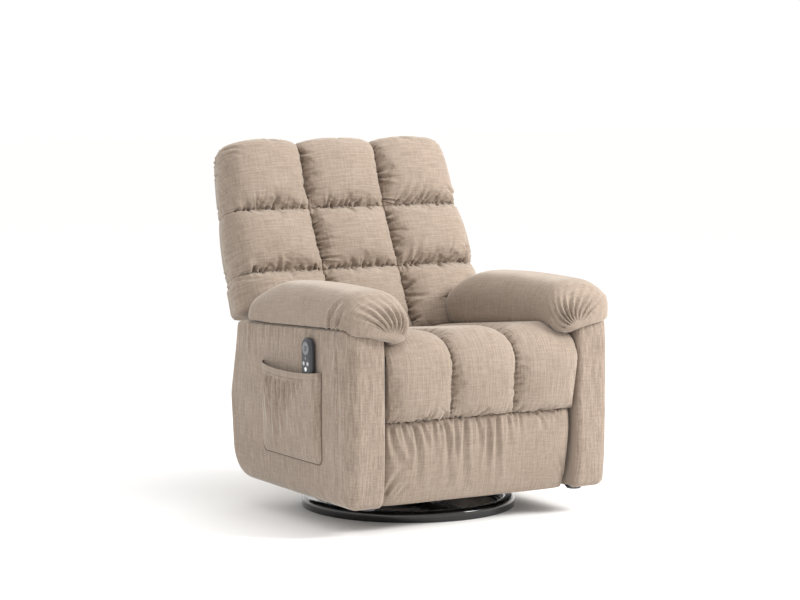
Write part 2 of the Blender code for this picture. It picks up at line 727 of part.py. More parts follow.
def footrest_upper_pad(footrest):
    """The channels go on below the seat's joint line, down to the gathered seam."""
    pf, pz = FOOTREST_PIVOT
    back = BOARD_BACK + BOARD_THICK + SEAT_GAP
    arc = SEAM_ARC + SEAM_OPENING
    low = FOOTREST_SEAM_Z + RUN_GAP
    rings = []
    for x in channel_stations():
        swell = channel_swell(x)
        front = NOSE_FRONT + swell / 2
        reach = min(front - pf, SEAM_ARC * 0.9)
        sweep = math.asin(reach / arc)
        top = [(pf + arc * math.sin(a), pz - arc * math.cos(a)) for a in np.linspace(0, sweep, 4)]
        start = top[-1][1]
        proud = front - FOOTREST_SEAM_FORWARD
        face = [(FOOTREST_SEAM_FORWARD + proud * crown(t, 0.5), start + (low - start) * t)
                for t in np.linspace(0, 1, 7)[1:]]
        rings.append(lift([(back, pz - arc), *top, *face, (back, low)], x))
    return footrest.add("footrest_upper_pad", loft(rings), upholstery())


def footrest_lower_pad(footrest):
    """Plain lower panel, fullest in its upper half, drawn in at its lower edge and sides."""
    back = BOARD_BACK + BOARD_THICK + SEAT_GAP
    height = FOOTREST_SEAM_Z - FOOTREST_BOTTOM_Z
    full = FOOTREST_FACE - FOOTREST_SEAM_FORWARD
    rings = []
    for x in seam_stations((-SEAT_HALF_WIDTH, 0, SEAT_HALF_WIDTH), 6):
        draw = side_draw(x) * CUSHION_SIDE_DRAW
        face = []
        for t in (0.0, 0.06, 0.18, 0.36, 0.56, 0.76, 0.90, 0.97, 1.0):
            edge = (1 - t**12) * CUSHION_SIDE_DRAW
            fullness = full * math.sin(math.pi * t**0.8) ** 0.7
            forward = FOOTREST_SEAM_FORWARD - CUSHION_SIDE_DRAW + edge + fullness - draw
            face.append((forward, FOOTREST_SEAM_Z - height * t))
        rings.append(lift([(back, FOOTREST_SEAM_Z), *face, (back, FOOTREST_BOTTOM_Z)], x))
    return footrest.add("footrest_lower_pad", loft(rings), upholstery())


def inset(outline, by):
    """Outline moved inwards along its own normals."""
    ahead, behind = np.roll(outline, -1, 0), np.roll(outline, 1, 0)
    along = ahead - behind
    normal = np.stack([-along[:, 1], along[:, 0]], axis=1) / np.linalg.norm(along, axis=1)[:, None]
    area = np.sum(outline[:, 0] * ahead[:, 1] - ahead[:, 0] * outline[:, 1])
    return outline + normal * by * np.sign(area)


def arm_panel(chassis, name, side):
    """Upholstered arm body: flat inside, softly crowned outside, its rear lower corner cut in a curve."""
    belly = (ARM_REAR - ARM_REAR_BELLY, (ARM_REAR_TOP_Z + ARM_REAR_BOTTOM_Z) / 2)
    corners = [(ARM_FRONT, ARM_FRONT_BOTTOM_Z), (ARM_FRONT, ARM_FRONT_TOP_Z),
               (ARM_REAR_TOP, ARM_REAR_TOP_Z), belly, (ARM_REAR, ARM_REAR_BOTTOM_Z)]
    radii = (ARM_FRONT_ROUND, ARM_FRONT_ROUND, ARM_TOP_ROUND, ARM_REAR_ROUND, ARM_REAR_ROUND)
    outline = rounded(corners, radii, steps=5)
    soft = ARM_EDGE_ROUND
    # How far across each ring lies, and how far its outline draws in
    rings = [(ARM_INNER_X, ARM_CROWN), (ARM_INNER_X + ARM_CROWN, 0), (ARM_OUTER_X - soft, 0),
             (ARM_OUTER_X - soft * 0.45, soft * 0.12), (ARM_OUTER_X - soft * 0.12, soft * 0.45),
             (ARM_OUTER_X, soft)]
    # The rings of both arms run the same way across, so that their faces do too
    shape = loft([lift(inset(outline, by) if by else outline, side * x) for x, by in rings][::side])
    return chassis.add(name, shape, upholstery())


def arm_top_z(forward):
    """Height of the seam between arm body and pad."""
    share = (forward - ARM_REAR) / (ARM_FRONT - ARM_REAR)
    return ARM_REAR_TOP_Z + (ARM_FRONT_TOP_Z - ARM_REAR_TOP_Z) * share


def arm_pad(chassis, name, side):
    """Overstuffed pad, crowned, whose round nose drops in front of the arm, lowest on the seat's side."""
    low_x, high_x = ARM_INNER_X - PAD_OVERHANG_IN, ARM_OUTER_X
    middle, half = (low_x + high_x) / 2, (high_x - low_x) / 2
    clear = ARM_FRONT + SEAT_GAP
    nose = PAD_FRONT - clear - 2 * SEAT_GAP
    length = PAD_FRONT - PAD_REAR
    body_shares = (0.0, 0.015, 0.06, 0.15, 0.32, 0.52, 0.72, 0.88, 1.0)
    body = [PAD_REAR + (clear - PAD_REAR) * t for t in body_shares]
    front = [clear + 2 * SEAT_GAP + nose * t for t in (0.0, 0.4, 0.75, 0.93)]
    rings = []
    for forward in body + front:
        rear_t = np.clip((forward - PAD_REAR) / PAD_NOSE_LENGTH, 0, 1)
        front_t = np.clip((PAD_FRONT - forward) / PAD_NOSE_LENGTH, 0, 1)
        fat = 0.45 + 0.55 * math.sqrt(1 - (1 - rear_t) ** 2)
        fat *= 0.22 + 0.78 * math.sqrt(1 - (1 - front_t) ** 2)
        rise = 0.9 + 0.1 * math.sin(math.pi * (forward - PAD_REAR) / length)
        seat = arm_top_z(min(forward, ARM_FRONT)) + SEAT_GAP * 4
        ring = []
        for a in np.linspace(0, math.pi, 13):
            c, s = math.cos(a), math.sin(a)
            x = middle + half * (0.7 + 0.3 * fat) * np.sign(c) * abs(c) ** 0.6
            ring.append((x, PAD_HEIGHT * fat * rise * abs(s) ** 0.62))
        ring += [(middle + half * share, 0) for share in (-0.7, 0, 0.7)]
        drops = (PAD_DROP_INSIDE * fat, PAD_DROP_OUTSIDE * fat) if forward > clear else (0, 0)
        hang = [np.interp(x, (low_x, high_x), drops) * (1 - z / PAD_HEIGHT) for x, z in ring]
        rings.append([place(side * x, forward, seat + z - drop) for (x, z), drop in zip(ring, hang)])
    return chassis.add(name, loft(rings), upholstery())


# Back


def back_place(x, along, out):
    """World point on the back: along its frame from the foot, and out of the frame's front face."""
    at = np.array(BACK_FOOT) + along * BACK_ALONG + out * BACK_OUT
    return place(x, *at)


def back_half_width(along):
    """Narrow between the arms, wide above them, and a little narrower again at the top."""
    if along < BACK_WING_START:
        return BACK_NARROW
    rise = np.clip((along - BACK_WING_START) / (ROW_SEAMS[0] - BACK_WING_START), 0, 1)
    fall = np.clip((along - ROW_SEAMS[0]) / (BACK_LENGTH - ROW_SEAMS[0]), 0, 1)
    wide = BACK_WIDE - BACK_TOP_DRAW * fall**1.5
    corner = np.clip((BACK_LENGTH - along) / (2 * BACK_RAIL), 0, 1)
    return wide - BACK_TOP_DRAW * (1 - rise) ** 2 - BACK_RAIL * (1 - math.sqrt(1 - (1 - corner) ** 3))


def back_cushion(back):
    """Three columns and three rows of tufts, puffed between deep seams."""
    rows = (BACK_CUSHION_START, *ROW_SEAMS, BACK_LENGTH)
    step = (BACK_WING_START - SEAT_GAP, BACK_WING_START + SEAT_GAP)
    stations = np.sort(np.append(seam_stations(rows, 7), step))
    rings = []
    for along in stations:
        wide = back_half_width(along)
        seams = (-wide, -COLUMN_SEAM_X, COLUMN_SEAM_X, wide)
        x = seam_stations(seams, 7)
        depth = np.interp(along, rows, BACK_SEAM_DEPTHS)
        side = np.clip(1 - np.abs(x / wide) ** 12, 0, 1) ** 0.5
        puff = crown(between_seams(x, seams), 0.4) * crown(between_seams(along, rows), 0.4)
        end = math.sqrt(1 - (1 - np.clip((BACK_LENGTH + SPOKE_WIDTH / 4 - along) / BACK_RAIL, 0, 1)) ** 2)
        out = depth * (0.25 + 0.75 * side) * (0.3 + 0.7 * end) + TUFT_CROWN * puff
        front = [back_place(a, along, b) for a, b in zip(x, out)]
        rear = [back_place(wide * t, along, SEAT_GAP) for t in (0.97, 0.4, -0.4, -0.97)]
        rings.append(front + rear)
    return back.add("back_cushion", loft(rings), upholstery())


def back_cover(back):
    """Rear panel of the back: it closes round the frame and tucks under about the recline axis."""
    deep = BACK_FRAME_THICK + SEAT_GAP
    rings = []
    for angle in np.linspace(TUCK_START, TUCK_END, 5):
        head = np.array((math.cos(angle), math.sin(angle)))
        inner = np.array(RECLINE_PIVOT) + head * (TUCK_RADIUS - TUCK_THICK)
        outer = np.array(RECLINE_PIVOT) + head * TUCK_RADIUS
        rings.append([place(BACK_NARROW * t, *inner) for t in (-1, -0.8, 0, 0.8, 1)]
                     + [place(BACK_NARROW * t, *outer) for t in (1, 0.8, 0, -0.8, -1)])
    level_share = 0.85
    level = level_share * BACK_LENGTH
    stations = [BACK_WING_START * 0.8, BACK_WING_START - SEAT_GAP, BACK_WING_START + SEAT_GAP]
    stations += [BACK_LENGTH * share for share in (0.32, 0.52, 0.74, 0.88, 0.955, 0.985)]
    for along in stations:
        wide = back_half_width(along) - SEAT_GAP
        winged = along > BACK_WING_START
        front = -SEAT_GAP if winged else -deep
        end = 1 - np.clip((along - level) / (BACK_LENGTH - level), 0, 1) ** 3
        thick = deep + (COVER_THICK if winged else TUCK_THICK) * end
        swell = COVER_CROWN * math.sin(math.pi * np.clip(along / BACK_LENGTH, 0, 1))
        inner = [back_place(wide * t, along, front) for t in (-1, -0.8, 0, 0.8, 1)]
        # Across, into the thickness and into the swell, as shares of each
        shell_shares = ((1, 0.5, 0), (0.955, 0.9, 0.2), (0, 1, 1), (-0.955, 0.9, 0.2), (-1, 0.5, 0))
        outer = [back_place(wide * t, along, front - (thick + front) * share - swell * bulge)
                 for t, share, bulge in shell_shares]
        rings.append(inner + outer)
    cover = back.add("back_cover", loft(rings), upholstery())
    low, high = BACK_WING_START - OVERRUN, BACK_FRAME_LENGTH + RUN_GAP
    hollow = [back_place(side * LANE_PLATE[0], along, out)
              for along, out in ((low, -deep), (low, OVERRUN), (high, OVERRUN), (high, -deep))
              for side in (-1, 1)]
    cutter = loft([hollow[0::2], hollow[1::2]])
    return back.combine(cover, cutter, "DIFFERENCE")


def back_frame_piece(back, name, x_span, along_span):
    corners = [(along, out) for along in along_span for out in (-BACK_FRAME_THICK, -SEAT_GAP)]
    order = (0, 1, 3, 2)
    rings = [[back_place(x, *corners[i]) for i in order] for x in x_span]
    return back.add(name, loft(rings), plywood())


def back_bracket(back, name, side):
    """Steel strap from the recline link, past the recline pivot, up along the back's upright."""
    foot = np.array(BACK_FOOT) - BRACKET_BEHIND * BACK_OUT
    path = [RECLINE_ROD_PIVOT, RECLINE_PIVOT, foot + (BACK_WING_START - OVERRUN) * BACK_ALONG,
            foot + BRACKET_TOP * BACK_ALONG]
    shape = extruded(strap(path, LINK_HALF_WIDTH), side * LANE_OUTER[0], side * LANE_OUTER[1],
                     [circle(RECLINE_PIVOT, PIN_RADIUS + PIN_PLAY)])
    made = back.add(name, shape, dark_steel())
    return back.combine(made, pivot_pin(RECLINE_ROD_PIVOT, side, LANE_OUTER, LANE_INNER), "UNION")


# Footrest hardware


def footrest_board(footrest):
    half = SEAT_HALF_WIDTH - BOARD_INSET
    low = place(-half, BOARD_BACK, BOARD_LOW_Z)
    high = place(half, BOARD_BACK + BOARD_THICK, BOARD_HIGH_Z)
    return footrest.add("footrest_board", box(low, high), plywood())


def footrest_bracket(footrest, name, side):
    """Strap from the footrest pivot to the connecting link, with a flange behind the board."""
    x, z = FOOTREST_ROD_PIVOT
    path = [FOOTREST_PIVOT, FOOTREST_ROD_PIVOT, (x, FLANGE_LOW_Z + LINK_HALF_WIDTH)]
    shape = extruded(strap(path, LINK_HALF_WIDTH), side * LANE_OUTER[0], side * LANE_OUTER[1],
                     [circle(FOOTREST_PIVOT, PIN_RADIUS + PIN_PLAY)])
    made = footrest.add(name, shape, dark_steel())
    footrest.combine(made, pivot_pin(FOOTREST_ROD_PIVOT, side, LANE_OUTER, LANE_INNER), "UNION")
    root = side * sum(LANE_OUTER) / 2
    back = BOARD_BACK - SEAT_GAP
    clear = FOOTREST_ROD_PIVOT[1] - 2 * LINK_HALF_WIDTH
    flange = box(place(root, back - LINK, FLANGE_LOW_Z + LINK),
                 place(side * (LANE_OUTER[0] - FLANGE_REACH), back, clear))
    return footrest.combine(made, flange, "UNION")


# Torque tubes and actuators


def torque_tube(body, name, ends, crank_side, crank_angle):
    """Tube that turns in both side plates, with a link welded on near each end and a crank in between."""
    pivot = ends[0]
    shoulder, end = LANE_OUTER[1] - SEAT_GAP, LANE_PLATE[1] - SEAT_GAP
    profile = [(JOURNAL_RADIUS, -end), (JOURNAL_RADIUS, -shoulder), (TUBE_RADIUS, -shoulder),
               (TUBE_RADIUS, shoulder), (JOURNAL_RADIUS, shoulder), (JOURNAL_RADIUS, end)]
    tube = body.add(name, loft(turned(profile, place(0, *pivot), ACROSS, ROUND_SIDES)), zinc_steel())
    tip = np.array(pivot) + CRANK_LENGTH * np.array((math.cos(crank_angle), math.sin(crank_angle)))
    outer = ACTUATOR_X - ROD_RADIUS - RUN_GAP
    arm = extruded(strap([pivot, tip], CRANK_HALF_WIDTH, 4),
                   crank_side * (outer - CRANK_THICK), crank_side * outer)
    body.combine(tube, arm, "UNION")
    reach = ACTUATOR_X + YOKE_THICK / 2 + RUN_GAP
    profile = [(CRANK_PIN_RADIUS, outer - CRANK_THICK / 2), (CRANK_PIN_RADIUS, reach)]
    pin = loft(turned(profile, place(0, *tip), crank_side * ACROSS, ROUND_SIDES))
    body.combine(tube, pin, "UNION")
    for side in SIDES.values():
        bar = extruded(strap(ends, LINK_HALF_WIDTH), side * LANE_OUTER[0], side * LANE_OUTER[1])
        body.combine(tube, bar, "UNION")
        body.combine(tube, pivot_pin(ends[1], side, LANE_OUTER, LANE_INNER), "UNION")
    return tube


def crank_arc(swing):
    """A crank that swings evenly either side of straight down: its middle depth and its half travel."""
    half = swing / 2
    depth = CRANK_LENGTH * (1 + math.cos(half)) / 2
    return depth, CRANK_LENGTH * math.sin(half), CRANK_LENGTH * (1 - math.cos(half)) / 2


def mounting_ear(x, motor_forward):
    """Lug from a gearmotor's middle to the near face of the cross tube that carries it."""
    near = math.copysign(MOTOR_TUBE_SIDE / 2 + SEAT_GAP, motor_forward - MOTOR_TUBE_FORWARD)
    half = MOTOR_TUBE_SIDE * 0.45
    return box(place(x - EAR_THICK / 2, MOTOR_TUBE_FORWARD + near, MOTOR_TUBE_Z - half),
               place(x + EAR_THICK / 2, motor_forward, MOTOR_TUBE_Z + half))


def actuator(chassis, rod_body, name, pivot, swing, side, tube_length):
    """Gearbox, motor and tube on the chassis, and the rod whose slotted yoke pushes a crank's pin."""
    depth, travel, half_rise = crank_arc(swing)
    z = pivot[1] - depth
    x = side * ACTUATOR_X
    pin = pivot[0] - travel
    slot_half = half_rise + CRANK_PIN_RADIUS + RUN_GAP
    head_half = CRANK_PIN_RADIUS + YOKE_PLAY + YOKE_WALL
    front = pin - head_half - RUN_GAP
    rear = front - tube_length
    wall = ACTUATOR_TUBE_RADIUS
    tube_profile = [(wall * 0.8, rear), (wall, rear + wall / 4), (wall, front), (ACTUATOR_BORE, front),
                    (ACTUATOR_BORE, rear + wall), (ACTUATOR_BORE / 3, rear + wall)]
    sleeve = turned(tube_profile, place(x, 0, z), FORWARD, TUBE_SIDES)
    tube = chassis.add(name + "_actuator_tube", loft(sleeve),
                       zinc_steel())
    half = GEARBOX_HEIGHT / 2
    back = rear - SEAT_GAP
    corners = [(back - GEARBOX_LENGTH, z - half), (back, z - half),
               (back, z + half), (back - GEARBOX_LENGTH, z + half)]
    outline = rounded(corners, [GEARBOX_ROUND] * 4, steps=3)
    gearbox = extruded(outline, x - GEARBOX_WIDTH / 2, x + GEARBOX_WIDTH / 2)
    gearmotor = chassis.add(name + "_gearmotor", gearbox,
                            black_plastic())
    top = z - half
    rim = MOTOR_RADIUS * 0.9
    can = [(rim, -MOTOR_LENGTH), (MOTOR_RADIUS, -MOTOR_LENGTH + rim / 4), (MOTOR_RADIUS, half)]
    motor = loft(turned(can, place(x, back - GEARBOX_LENGTH / 2, top), UP, TUBE_SIDES))
    chassis.combine(gearmotor, motor, "UNION")
    chassis.combine(gearmotor, mounting_ear(x, back - GEARBOX_LENGTH / 2), "UNION")
    corners = [(pin - head_half, z - slot_half - YOKE_WALL), (pin + head_half, z - slot_half - YOKE_WALL),
               (pin + head_half, z + slot_half + YOKE_WALL), (pin - head_half, z + slot_half + YOKE_WALL)]
    inside = [(pin - head_half + YOKE_WALL, z - slot_half), (pin + head_half - YOKE_WALL, z - slot_half),
              (pin + head_half - YOKE_WALL, z + slot_half), (pin - head_half + YOKE_WALL, z + slot_half)]
    head = extruded(rounded(corners, [YOKE_WALL / 2] * 4, steps=2),
                    x - YOKE_THICK / 2, x + YOKE_THICK / 2,
                    [rounded(inside, [YOKE_PLAY / 2] * 4, steps=2)])
    rod = rod_body.add(name + "_actuator_rod", head, zinc_steel())
    end = pin - head_half + YOKE_WALL / 2
    start = rear + wall + RUN_GAP
    shaft = loft(turned([(ROD_RADIUS, start), (ROD_RADIUS, end)], place(x, 0, z), FORWARD, ROUND_SIDES))
    rod_body.combine(rod, shaft, "UNION")
    return tube


# Rear apron, inlet, pocket and handset


def rear_apron(chassis):
    """Panel between the arms at the rear, curved under like their rear lower corners."""
    outer = ARM_REAR + SEAT_GAP
    centre = (outer + ARM_REAR_ROUND, ARM_REAR_BOTTOM_Z + ARM_REAR_ROUND)
    bands = []
    for radius in (ARM_REAR_ROUND, ARM_REAR_ROUND - APRON_THICK):
        arc = [np.array(centre) + radius * np.array((math.cos(a), math.sin(a)))
               for a in np.linspace(math.pi, math.pi * 1.38, 7)]
        bands.append([(centre[0] - radius, APRON_TOP_Z), *arc])
    outline = bands[0] + bands[1][::-1]
    span = ARM_INNER_X - SEAT_GAP
    return chassis.add("rear_apron", extruded(outline, -span, span), upholstery())


def power_inlet(chassis):
    """Round bush in the apron where a supply lead would plug in."""
    face = -(ARM_REAR + SEAT_GAP) + SEAT_GAP
    profile = [(INLET_BORE, INLET_DEPTH), (INLET_RADIUS * 0.8, INLET_DEPTH),
               (INLET_RADIUS, INLET_DEPTH / 2), (INLET_RADIUS, 0), (INLET_BORE, 0)]
    centre = place(INLET_X, -face, INLET_Z)
    rings = turned(profile, centre, -FORWARD, TUBE_SIDES).transpose(1, 0, 2)
    return chassis.add("power_inlet", hoop(rings), black_plastic())


def pocket_block(front, rear, bottom, inner_x, deep_low, deep_high, top, sag, corner):
    """Wedge that stands off the arm's face: shallow at its foot, full depth from the knee to its top."""
    rings = []
    span = front - rear
    for t in (0.0, 0.04, 0.12, 0.35, 0.65, 0.88, 0.96, 1.0):
        forward = rear + span * t
        edge = math.sqrt(1 - (1 - np.clip(min(t, 1 - t) * span / corner, 0, 1)) ** 2)
        low = bottom + corner * (1 - edge)
        high = top - sag * 4 * t * (1 - t)
        soft = 0.35 + 0.65 * edge
        rings.append([place(x, forward, z) for x, z in (
            (-inner_x, low), (-inner_x - deep_low * soft, low),
            (-inner_x - deep_high * soft, POCKET_KNEE_Z), (-inner_x - deep_high * soft, high),
            (-inner_x, high))])
    return loft(rings)


def side_pocket(chassis):
    """Flat pocket on the right arm, sewn at its sides and bottom; its hem sags and stands open."""
    face = ARM_OUTER_X + SEAT_GAP
    wall = POCKET_WALL
    outer = pocket_block(POCKET_FRONT, POCKET_REAR, POCKET_BOTTOM_Z, face, POCKET_DEPTH_BOTTOM,
                         POCKET_DEPTH_TOP + wall, POCKET_TOP_Z, POCKET_SAG, POCKET_ROUND)
    pocket = chassis.add("side_pocket", outer, upholstery())
    inner = pocket_block(POCKET_FRONT - 2 * wall, POCKET_REAR + 2 * wall, POCKET_BOTTOM_Z + 3 * wall,
                         face - OVERRUN, POCKET_DEPTH_BOTTOM - wall + OVERRUN, POCKET_DEPTH_TOP + OVERRUN,
                         POCKET_TOP_Z + OVERRUN, POCKET_SAG, POCKET_ROUND)
    return chassis.combine(pocket, inner, "DIFFERENCE")


def handset_outline(by=0.0):
    half = HANDSET_WIDTH / 2 - by
    top, low = HANDSET_TOP_Z - by, HANDSET_TOP_Z - HANDSET_LENGTH + by
    middle = HANDSET_FORWARD
    corners = [(middle - half, low), (middle + half, low), (middle + half, top), (middle - half, top)]
    return rounded(corners, (half * 0.55, half * 0.55, half * 0.95, half * 0.95), steps=4)


def key_place(name):
    across, down, radius = KEY_SHARES[name]
    at = (HANDSET_FORWARD + across * HANDSET_WIDTH, HANDSET_TOP_Z - down * HANDSET_LENGTH)
    return at, radius * HANDSET_WIDTH


def handset_shells(handset):
    """Back shell and face plate; the keys stand in through holes of the face."""
    inner = -(ARM_OUTER_X + SEAT_GAP)
    soft = HANDSET_BACK / 3
    rings = [lift(handset_outline(soft), inner), lift(handset_outline(), inner - soft),
             lift(handset_outline(), inner - HANDSET_BACK)]
    handset.add("handset_back", loft(rings), black_plastic())
    low = inner - HANDSET_BACK - SEAT_GAP
    holes = [circle(*key_place(name)) for name in KEY_SHARES if name != "key_centre"]
    plate = extruded(handset_outline(), low, low - HANDSET_FACE, holes)
    handset.add("handset_face", plate, black_plastic())
    return low


def handset_key(body, name, face_x):
    """Key with a domed rim; the round pad is a ring about its centre key."""
    at, radius = key_place(name)
    radius -= KEY_PLAY
    low = -face_x + KEY_TRAVEL
    top = -face_x + HANDSET_FACE + KEY_RISE
    section = [(radius, low), (radius, top - KEY_RISE / 2), (radius - KEY_RISE / 2, top)]
    centre = place(0, *at)
    sides = ROUND_SIDES
    look = key_white() if name in ("key_power", "key_centre") else black_plastic()
    if name != "key_pad":
        return body.add(name, loft(turned(section, centre, -ACROSS, sides)), look)
    bore = key_place("key_centre")[1]
    section += [(bore, top), (bore, low)]
    return body.add(name, hoop(turned(section, centre, -ACROSS, sides).transpose(1, 0, 2)), look)


# Assembly


def build():
    clear_scene()
    base = Body("base", place(0, 0, 0))
    base_ring(base)
    base_spider(base)
    chassis = Body("swivel", place(0, 0, 0), base)
    bearing_race(chassis)
    bearing_plate(chassis, "bearing_upper_plate", BEARING_HIGH_Z)
    cross_member(chassis, "cross_member_front", CROSS_MEMBER_FORWARD)
    cross_member(chassis, "cross_member_rear", -CROSS_MEMBER_FORWARD)
    motor_cross_tube(chassis)
    seat_rail(chassis, "seat_rail_front", FRONT_RAIL_FORWARD)
    seat_rail(chassis, "seat_rail_rear", REAR_RAIL_FORWARD)
    seat_springs(chassis)
    seat_cushion(chassis)
    rear_apron(chassis)
    power_inlet(chassis)
    side_pocket(chassis)

    back = Body("recline", place(0, *RECLINE_PIVOT), chassis)
    back_cushion(back)
    back_cover(back)
    upright = LANE_OUTER[0] - SEAT_GAP
    inner = upright - BACK_RAIL
    span = (inner - SEAT_GAP) * np.array((-1, 1))
    back_frame_piece(back, "back_rail_bottom", span, (BACK_RAIL / 2, BACK_RAIL * 1.5))
    back_frame_piece(back, "back_rail_top", span, (BACK_FRAME_LENGTH - BACK_RAIL, BACK_FRAME_LENGTH))

    footrest = Body("footrest", place(0, *FOOTREST_PIVOT), chassis)
    footrest_upper_pad(footrest)
    footrest_lower_pad(footrest)
    footrest_board(footrest)

    footrest_drive = Body("footrest_drive", place(0, *FOOTREST_DRIVE_PIVOT), chassis)
    footrest_links = Body("footrest_links", place(0, *FOOTREST_CRANK_PIVOT), footrest_drive)
    recline_drive = Body("recline_drive", place(0, *RECLINE_DRIVE_PIVOT), chassis)
    recline_links = Body("recline_links", place(0, *RECLINE_ROD_PIVOT), back)
    down = -math.pi / 2
    torque_tube(footrest_drive, "footrest_torque_tube", (FOOTREST_DRIVE_PIVOT, FOOTREST_CRANK_PIVOT), 1,
                down - FOOTREST_SWING / 2)
    torque_tube(recline_drive, "recline_torque_tube", (RECLINE_DRIVE_PIVOT, RECLINE_CRANK_PIVOT), -1,
                down - RECLINE_SWING / 2)
    footrest_rod = Body("footrest_rod", place(ACTUATOR_X, *FOOTREST_DRIVE_PIVOT), chassis)
    recline_rod = Body("recline_rod", place(-ACTUATOR_X, *RECLINE_DRIVE_PIVOT), chassis)
    actuator(chassis, footrest_rod, "footrest", FOOTREST_DRIVE_PIVOT, FOOTREST_SWING, 1,
             FOOTREST_TUBE_LENGTH)
    actuator(chassis, recline_rod, "recline", RECLINE_DRIVE_PIVOT, RECLINE_SWING, -1, RECLINE_TUBE_LENGTH)

    bore = PIN_RADIUS + PIN_PLAY
    for word, side in SIDES.items():
        arm_panel(chassis, "arm_panel_" + word, side)
        arm_pad(chassis, "arm_pad_" + word, side)
        side_plate(chassis, "side_plate_" + word, side)
        for end in GLIDE_PLACES:
            floor_glide(chassis, f"glide_{end}_{word}", side, end)
        back_frame_piece(back, "back_upright_" + word, (side * inner, side * upright),
                         (0, BACK_FRAME_LENGTH))
        back_bracket(back, "back_bracket_" + word, side)
        footrest_bracket(footrest, "footrest_bracket_" + word, side)
        link(footrest_links, "footrest_push_link_" + word, side, (FOOTREST_CRANK_PIVOT, FOOTREST_ROD_PIVOT),
             LANE_INNER, ((FOOTREST_CRANK_PIVOT, bore), (FOOTREST_ROD_PIVOT, bore + PIN_PLAY)))
        link(recline_links, "recline_pull_link_" + word, side, (RECLINE_ROD_PIVOT, RECLINE_CRANK_PIVOT),
             LANE_INNER, ((RECLINE_ROD_PIVOT, bore), (RECLINE_CRANK_PIVOT, bore + PIN_PLAY)))

    handset = Body("handset", place(-ARM_OUTER_X, HANDSET_FORWARD, HANDSET_TOP_Z), chassis)
    face_x = handset_shells(handset)
    for name in KEY_SHARES:
        at, _ = key_place(name)
        handset_key(Body(name, place(face_x, *at), handset), name, face_x)
    parts = [thing for thing in bpy.data.objects if thing.type == "MESH" and not thing.hide_render]
    print(len(parts), "sub-parts")


build()
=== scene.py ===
# %% [markdown]
# # A swivel power recliner, dressed over its working frame
# The chair's steel, plywood and joints come in as a fixed frame. This lesson sews the soft chair
# around it: a tufted back, a channelled seat that runs over the nose into the footrest, pillow arms,
# a side pocket with its handset, and the glossy ring that it all swivels on.

# %% Frame
import json
import math

import bpy
import numpy as np
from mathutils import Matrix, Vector

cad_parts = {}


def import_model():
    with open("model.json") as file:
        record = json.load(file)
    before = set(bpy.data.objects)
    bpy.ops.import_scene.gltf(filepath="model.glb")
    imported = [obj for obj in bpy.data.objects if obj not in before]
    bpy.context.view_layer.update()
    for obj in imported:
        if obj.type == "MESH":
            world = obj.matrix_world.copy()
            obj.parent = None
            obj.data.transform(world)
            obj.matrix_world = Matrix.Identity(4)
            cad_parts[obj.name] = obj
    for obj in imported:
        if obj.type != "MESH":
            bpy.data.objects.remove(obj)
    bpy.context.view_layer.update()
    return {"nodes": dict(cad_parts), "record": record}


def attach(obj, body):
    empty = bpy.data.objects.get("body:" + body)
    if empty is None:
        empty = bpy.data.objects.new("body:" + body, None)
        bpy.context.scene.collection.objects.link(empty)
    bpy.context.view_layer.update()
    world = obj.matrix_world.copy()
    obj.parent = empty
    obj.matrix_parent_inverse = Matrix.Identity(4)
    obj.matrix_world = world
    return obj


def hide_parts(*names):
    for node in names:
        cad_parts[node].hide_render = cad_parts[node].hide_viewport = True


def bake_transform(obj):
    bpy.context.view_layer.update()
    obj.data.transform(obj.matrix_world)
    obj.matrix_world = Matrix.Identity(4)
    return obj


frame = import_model()

# %% [markdown]
# ## The same axes as the frame
# The chair faces -Y. Upholsterers speak of how far forward and how high a seam lies, so every shape
# here is drawn as (across, forward, up) from the swivel axis and only then put into world axes.

# %% Axes and main sizes
AXIS_X, AXIS_Y = 0.006, -0.045
SEAT_HALF = 0.294
ARM_IN, ARM_OUT = 0.306, 0.421
LEAN = math.radians(21)
BACK_FOOT = (-0.245, 0.420)
BACK_TALL = 0.634
ROWS = (0.018, 0.225, 0.415)
COLUMN_SEAM = 0.125


def world(across, forward, up):
    """World points from three arrays: across from the axis, forward towards -Y, and up."""
    across, forward, up = np.broadcast_arrays(across, forward, up)
    return np.stack([AXIS_X + across, AXIS_Y - forward, up], axis=-1)


def on_back(across, along, out):
    """World points on the leaning back: up its frame from the foot, and out of its front face."""
    forward = BACK_FOOT[0] - math.sin(LEAN) * along + math.cos(LEAN) * out
    return world(across, forward, BACK_FOOT[1] + math.cos(LEAN) * along + math.sin(LEAN) * out)


print("back leans", round(math.degrees(LEAN)), "degrees")

# %% [markdown]
# ## Camera
# The chair was photographed from about seven metres, turned 31 degrees and a little from above. A
# long lens from that place gives the same calm perspective. The camera simply looks at the point
# that lies in the middle of the picture, so no lens shift is needed.

# %% Camera
VIEW_TURN, VIEW_RISE, VIEW_FAR = math.radians(31), math.radians(10.2), 7.0
AIM_RIGHT, AIM_ABOVE = -0.00338, 0.08046
LENS, SENSOR = 110.6, 36.0
RING_MIDDLE = 0.016


